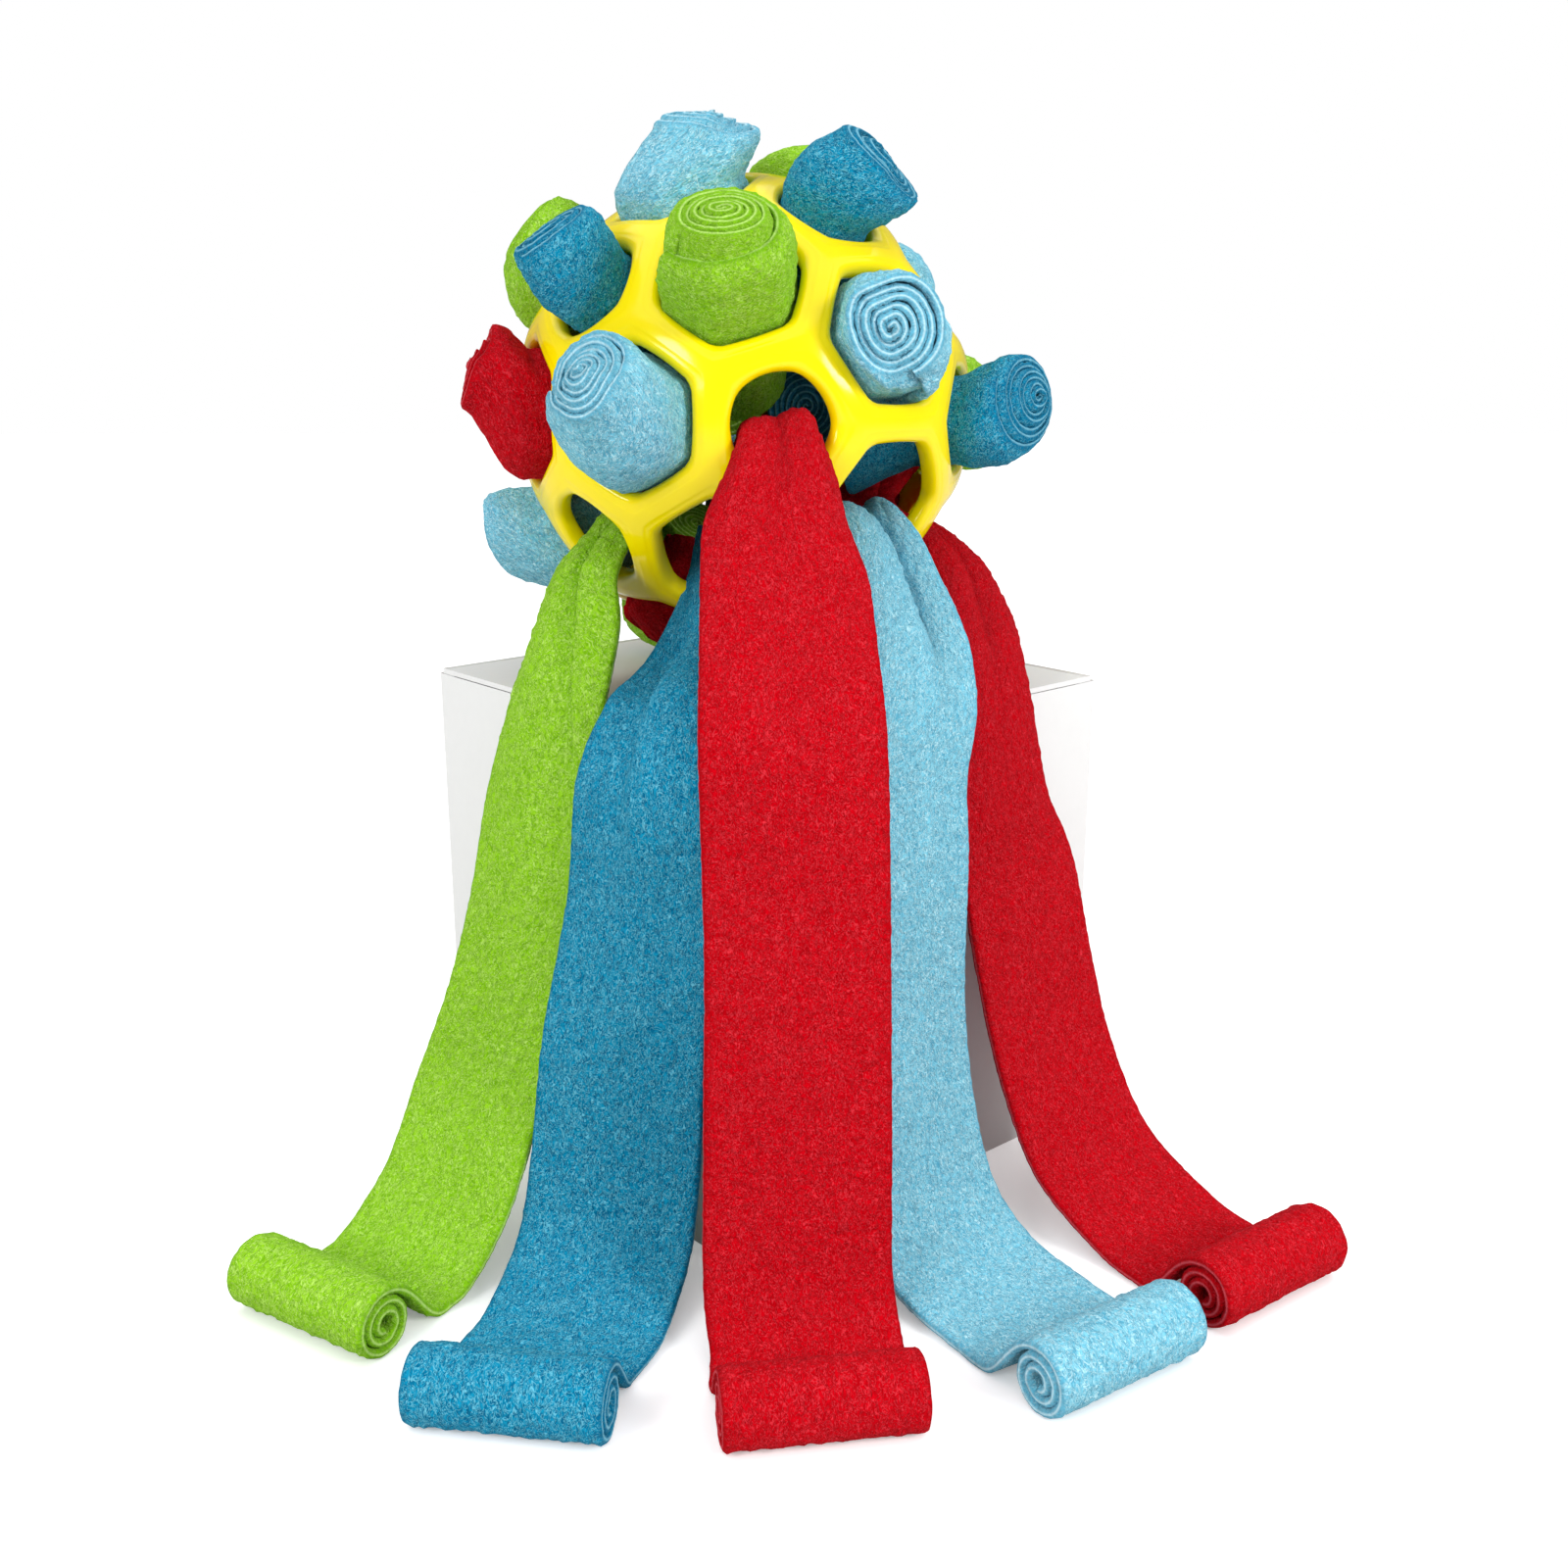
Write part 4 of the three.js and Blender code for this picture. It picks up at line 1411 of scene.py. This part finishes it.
STRIPS = (
    LongStrip(
        name="strip_green",
        colour=Fleece.GREEN,
        roll=(-103.5, -117, -32),
        offset=0.0,
        rows=[
            (-33, -23, 181.2, -48, 15),
            (-39.7, -28.9, 172.5, -48, 15),
            (-44.2, -36.6, 165.6, -48, 22),
            (-46.2, -42.6, 157, -48, 31),
            (-49.4, -47.6, 146, -47, 35),
            (-52.4, -51.4, 134, -46, 37),
            (-55.5, -55, 109, -41, 42),
            (-58.5, -58.5, 84, -36, 42),
            (-64.5, -63, 59, -35, 42),
            (-73.5, -67.5, 35, -36, 42),
            (-80, -81, 16, -36, 42),
            (-88, -94, 4, -33, 42),
        ],
        folds={
            0: [(-1, -3), (-0.8, 2), (-0.4, 2.5), (-0.05, -2), (0.1, -3.5), (0.3, 3), (1, 0)],
            2: [(-1, -3), (-0.8, 2), (-0.4, 2.5), (-0.05, -2), (0.08, -3.5), (0.22, 3), (1, 0)],
            3: [(-1, -3), (-0.8, 1.5), (-0.4, 2.5), (0, -1.2), (0.18, -3.5), (0.3, 2.8), (1, -0.5)],
            4: [(-1, -2.5), (-0.76, 1), (-0.35, 2), (0.15, -0.8), (0.36, -3.2), (0.47, 2.4), (1, -0.5)],
            5: [(-1, -1.5), (-0.72, 0.8), (-0.3, 1.5), (0.25, 0), (0.52, -2.4), (0.63, 1.6), (1, -0.5)],
            6: [(-1, -0.5), (-0.67, 0.5), (-0.3, 0.8), (0.2, 0.4), (0.58, -1), (0.72, 0.6), (1, -0.3)],
            8: LongStrip.FLAT,
        },
    ),
    LongStrip(
        name="strip_blue",
        colour=Fleece.BLUE,
        roll=(-52.5, -154.5, -9),
        offset=500.0,
        rows=[
            (-6, -26, 178.2, -4, 20),
            (-7.5, -35.5, 167, -5, 22),
            (-9, -45, 158.2, -8, 27),
            (-13, -56, 150, -18, 31),
            (-17, -66, 145.6, -25, 32),
            (-22, -80, 140.8, -31, 34),
            (-27, -90, 123.5, -32, 38),
            (-28.5, -87.5, 94, -29, 40),
            (-33.5, -88, 57, -21, 42),
            (-36, -91.5, 27, -15, 42),
            (-38.5, -100, 10, -13, 42),
            (-43, -120, 3, -11, 42),
            (-46, -129, 2, -10, 42),
        ],
        folds={
            0: [(-1, -3.5), (-0.77, -3), (-0.5, -1), (-0.41, 2.5), (0, 3), (0.45, 1.5), (1, -2)],
            2: [(-1, -4), (-0.77, -3.5), (-0.5, -1), (-0.41, 2.5), (0, 3), (0.45, 1.5), (1, -2)],
            3: [(-1, -4), (-0.7, -5), (-0.34, -4.5), (-0.24, 2.2), (0.15, 3), (0.6, 1.8), (1, -1)],
            4: [(-1, -3), (-0.66, -4.5), (-0.3, -4), (-0.18, 2.2), (0.2, 2.8), (0.62, 1.5), (1, -1)],
            5: [(-1, -2), (-0.66, -3.6), (-0.27, -3), (-0.12, 2), (0.25, 2.4), (0.62, 1), (1, -1)],
            6: [(-1, -1), (-0.69, -2), (-0.29, -1.5), (-0.05, 1.5), (0.34, 1.7), (0.69, 0.8), (1, -0.5)],
            7: [(-1, -0.5), (-0.67, 0), (-0.33, 0.5), (0, 0.8), (0.33, 0.5), (0.67, 0.2), (1, 0)],
            9: LongStrip.FLAT,
        },
    ),
    LongStrip(
        name="strip_red_front",
        colour=Fleece.RED,
        roll=(13.8, -157, 9),
        offset=1000.0,
        rows=[
            (1.5, -37, 193.8, 10, 17),
            (3.5, -45.5, 202, 10, 18),
            (4.8, -54.5, 202.4, 9, 18.5),
            (5, -64, 194, 8, 25),
            (4, -71, 183, 8, 32),
            (6, -79, 171, 7, 37),
            (7, -88, 156, 7, 39),
            (8, -99, 134, 7, 41),
            (9, -105, 88, 7, 41),
            (9, -112, 42, 7, 42),
            (9, -120, 15, 7, 42),
            (11, -132, 3.2, 7, 42),
        ],
        folds={
            0: [(-1, -3), (-0.85, 0.6), (-0.4, 1.6), (0.0, 1.2), (0.34, 3), (0.72, 3), (1, -3)],
            2: [(-1, -3), (-0.85, 0.6), (-0.4, 1.6), (0.0, 1.2), (0.34, 3), (0.72, 3), (1, -3)],
            3: [(-1, -2.5), (-0.76, 1.2), (-0.36, 1.5), (0, 0.3), (0.32, 2), (0.72, 2), (1, -2.5)],
            4: [(-1, -2), (-0.69, 0.8), (-0.34, 1.2), (0, 0.8), (0.34, 1.4), (0.69, 1), (1, -2.2)],
            5: [(-1, -1.5), (-0.67, 0.5), (-0.33, 1), (0, 1), (0.33, 1), (0.67, 0.6), (1, -1.5)],
            7: [(-1, -0.8), (-0.67, 0.3), (-0.33, 0.6), (0, 0.6), (0.33, 0.6), (0.67, 0.3), (1, -0.8)],
            9: LongStrip.FLAT,
        },
    ),
    LongStrip(
        name="strip_sky",
        colour=Fleece.SKY,
        roll=(78.5, -138, 34),
        offset=1500.0,
        rows=[
            (20, -26, 177.4, 41, 20),
            (24.4, -34.2, 180.5, 41, 17),
            (29.6, -43.4, 174.5, 41, 20),
            (32.8, -52.8, 164, 40, 27),
            (35.8, -62.8, 153, 40, 33),
            (36.5, -70, 145, 40, 38),
            (35.5, -76, 134, 40, 42),
            (34, -78, 118, 40, 41),
            (34.5, -79, 100, 40, 42),
            (35, -80, 55, 40, 42),
            (41, -87, 19, 40, 42),
            (50, -98, 5, 37, 42),
            (62, -114, 1.6, 35, 42),
        ],
        folds={
            0: [(-1, 0), (-0.5, 2), (-0.1, 1.5), (0.25, -0.5), (0.52, -3), (0.72, 0.5), (0.95, 2.5)],
            2: [(-1, 0), (-0.5, 2), (-0.1, 1.6), (0.28, -0.5), (0.54, -3.6), (0.7, 0.6), (0.95, 3)],
            3: [(-1, 0), (-0.55, 1.8), (-0.15, 1.4), (0.28, -0.5), (0.56, -3.8), (0.72, 0), (0.96, 2.5)],
            4: [(-1, 0), (-0.6, 1), (-0.2, 0.8), (0.24, -0.3), (0.55, -3), (0.74, -0.5), (1, 1.8)],
            5: [(-1, 0), (-0.66, 0.5), (-0.3, 0.5), (0.1, 0), (0.5, -1.8), (0.75, -0.8), (1, 0.6)],
            7: LongStrip.FLAT,
        },
    ),
    LongStrip(
        name="strip_red_side",
        colour=Fleece.RED,
        roll=(121.5, -104, 36),
        offset=2000.0,
        rows=[
            (34, 11, 189, 35, 24),
            (30, 3.5, 180, 60, 22),
            (36, -1, 174, 80, 21),
            (46, -5, 170.5, 75, 22),
            (54, -14, 163, 62, 26),
            (57, -26, 154, 52, 28),
            (58.5, -38, 145, 46, 27),
            (60.5, -46.5, 128, 44, 28.5),
            (63, -46.4, 108, 43, 32.5),
            (68, -42.5, 88, 42, 41),
            (73.5, -43.5, 60, 41, 42),
            (79, -48.5, 37, 41, 42),
            (88, -59, 15, 39, 42),
            (102, -77, 3.4, 37, 42),
        ],
        folds={
            0: [(-1, -2), (-0.8, 2), (-0.4, 3), (0, 0), (0.4, 3), (0.8, 2), (1, -2)],
            3: [(-1, -2), (-0.72, 1.5), (-0.36, 2), (0, -0.5), (0.36, 2), (0.72, 1.5), (1, -2)],
            5: [(-1, -1), (-0.67, 1), (-0.33, 1), (0, -0.5), (0.33, 1), (0.67, 1), (1, -1)],
            7: [(-1, -0.8), (-0.67, 0.5), (-0.33, 1), (0, 1), (0.33, 1), (0.67, 0.5), (1, -0.8)],
            10: LongStrip.FLAT,
        },
    ),
)


def main() -> None:
    """Builds the whole scene piece by piece."""
    logging.basicConfig(level=logging.INFO, format="%(message)s")
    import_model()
    Studio().build()
    fleece = {colour: FleeceFinish(colour).material() for colour in Fleece}
    nap = NapTree()
    ball = Ball()
    LOG.info("made %s", ball.build(YELLOW_PLASTIC.material()).name)
    LOG.info("made %s", DisplayBox().build(WHITE_CARD.material()).name)
    for row in ROLLS:
        roll = FleeceRoll(ball, *row)
        LOG.info("made %s", roll.build(fleece[roll.colour], nap).name)
    for strip in STRIPS:
        LOG.info("made %s", strip.build(fleece[strip.colour], nap).name)


if __name__ == "__main__":
    main()
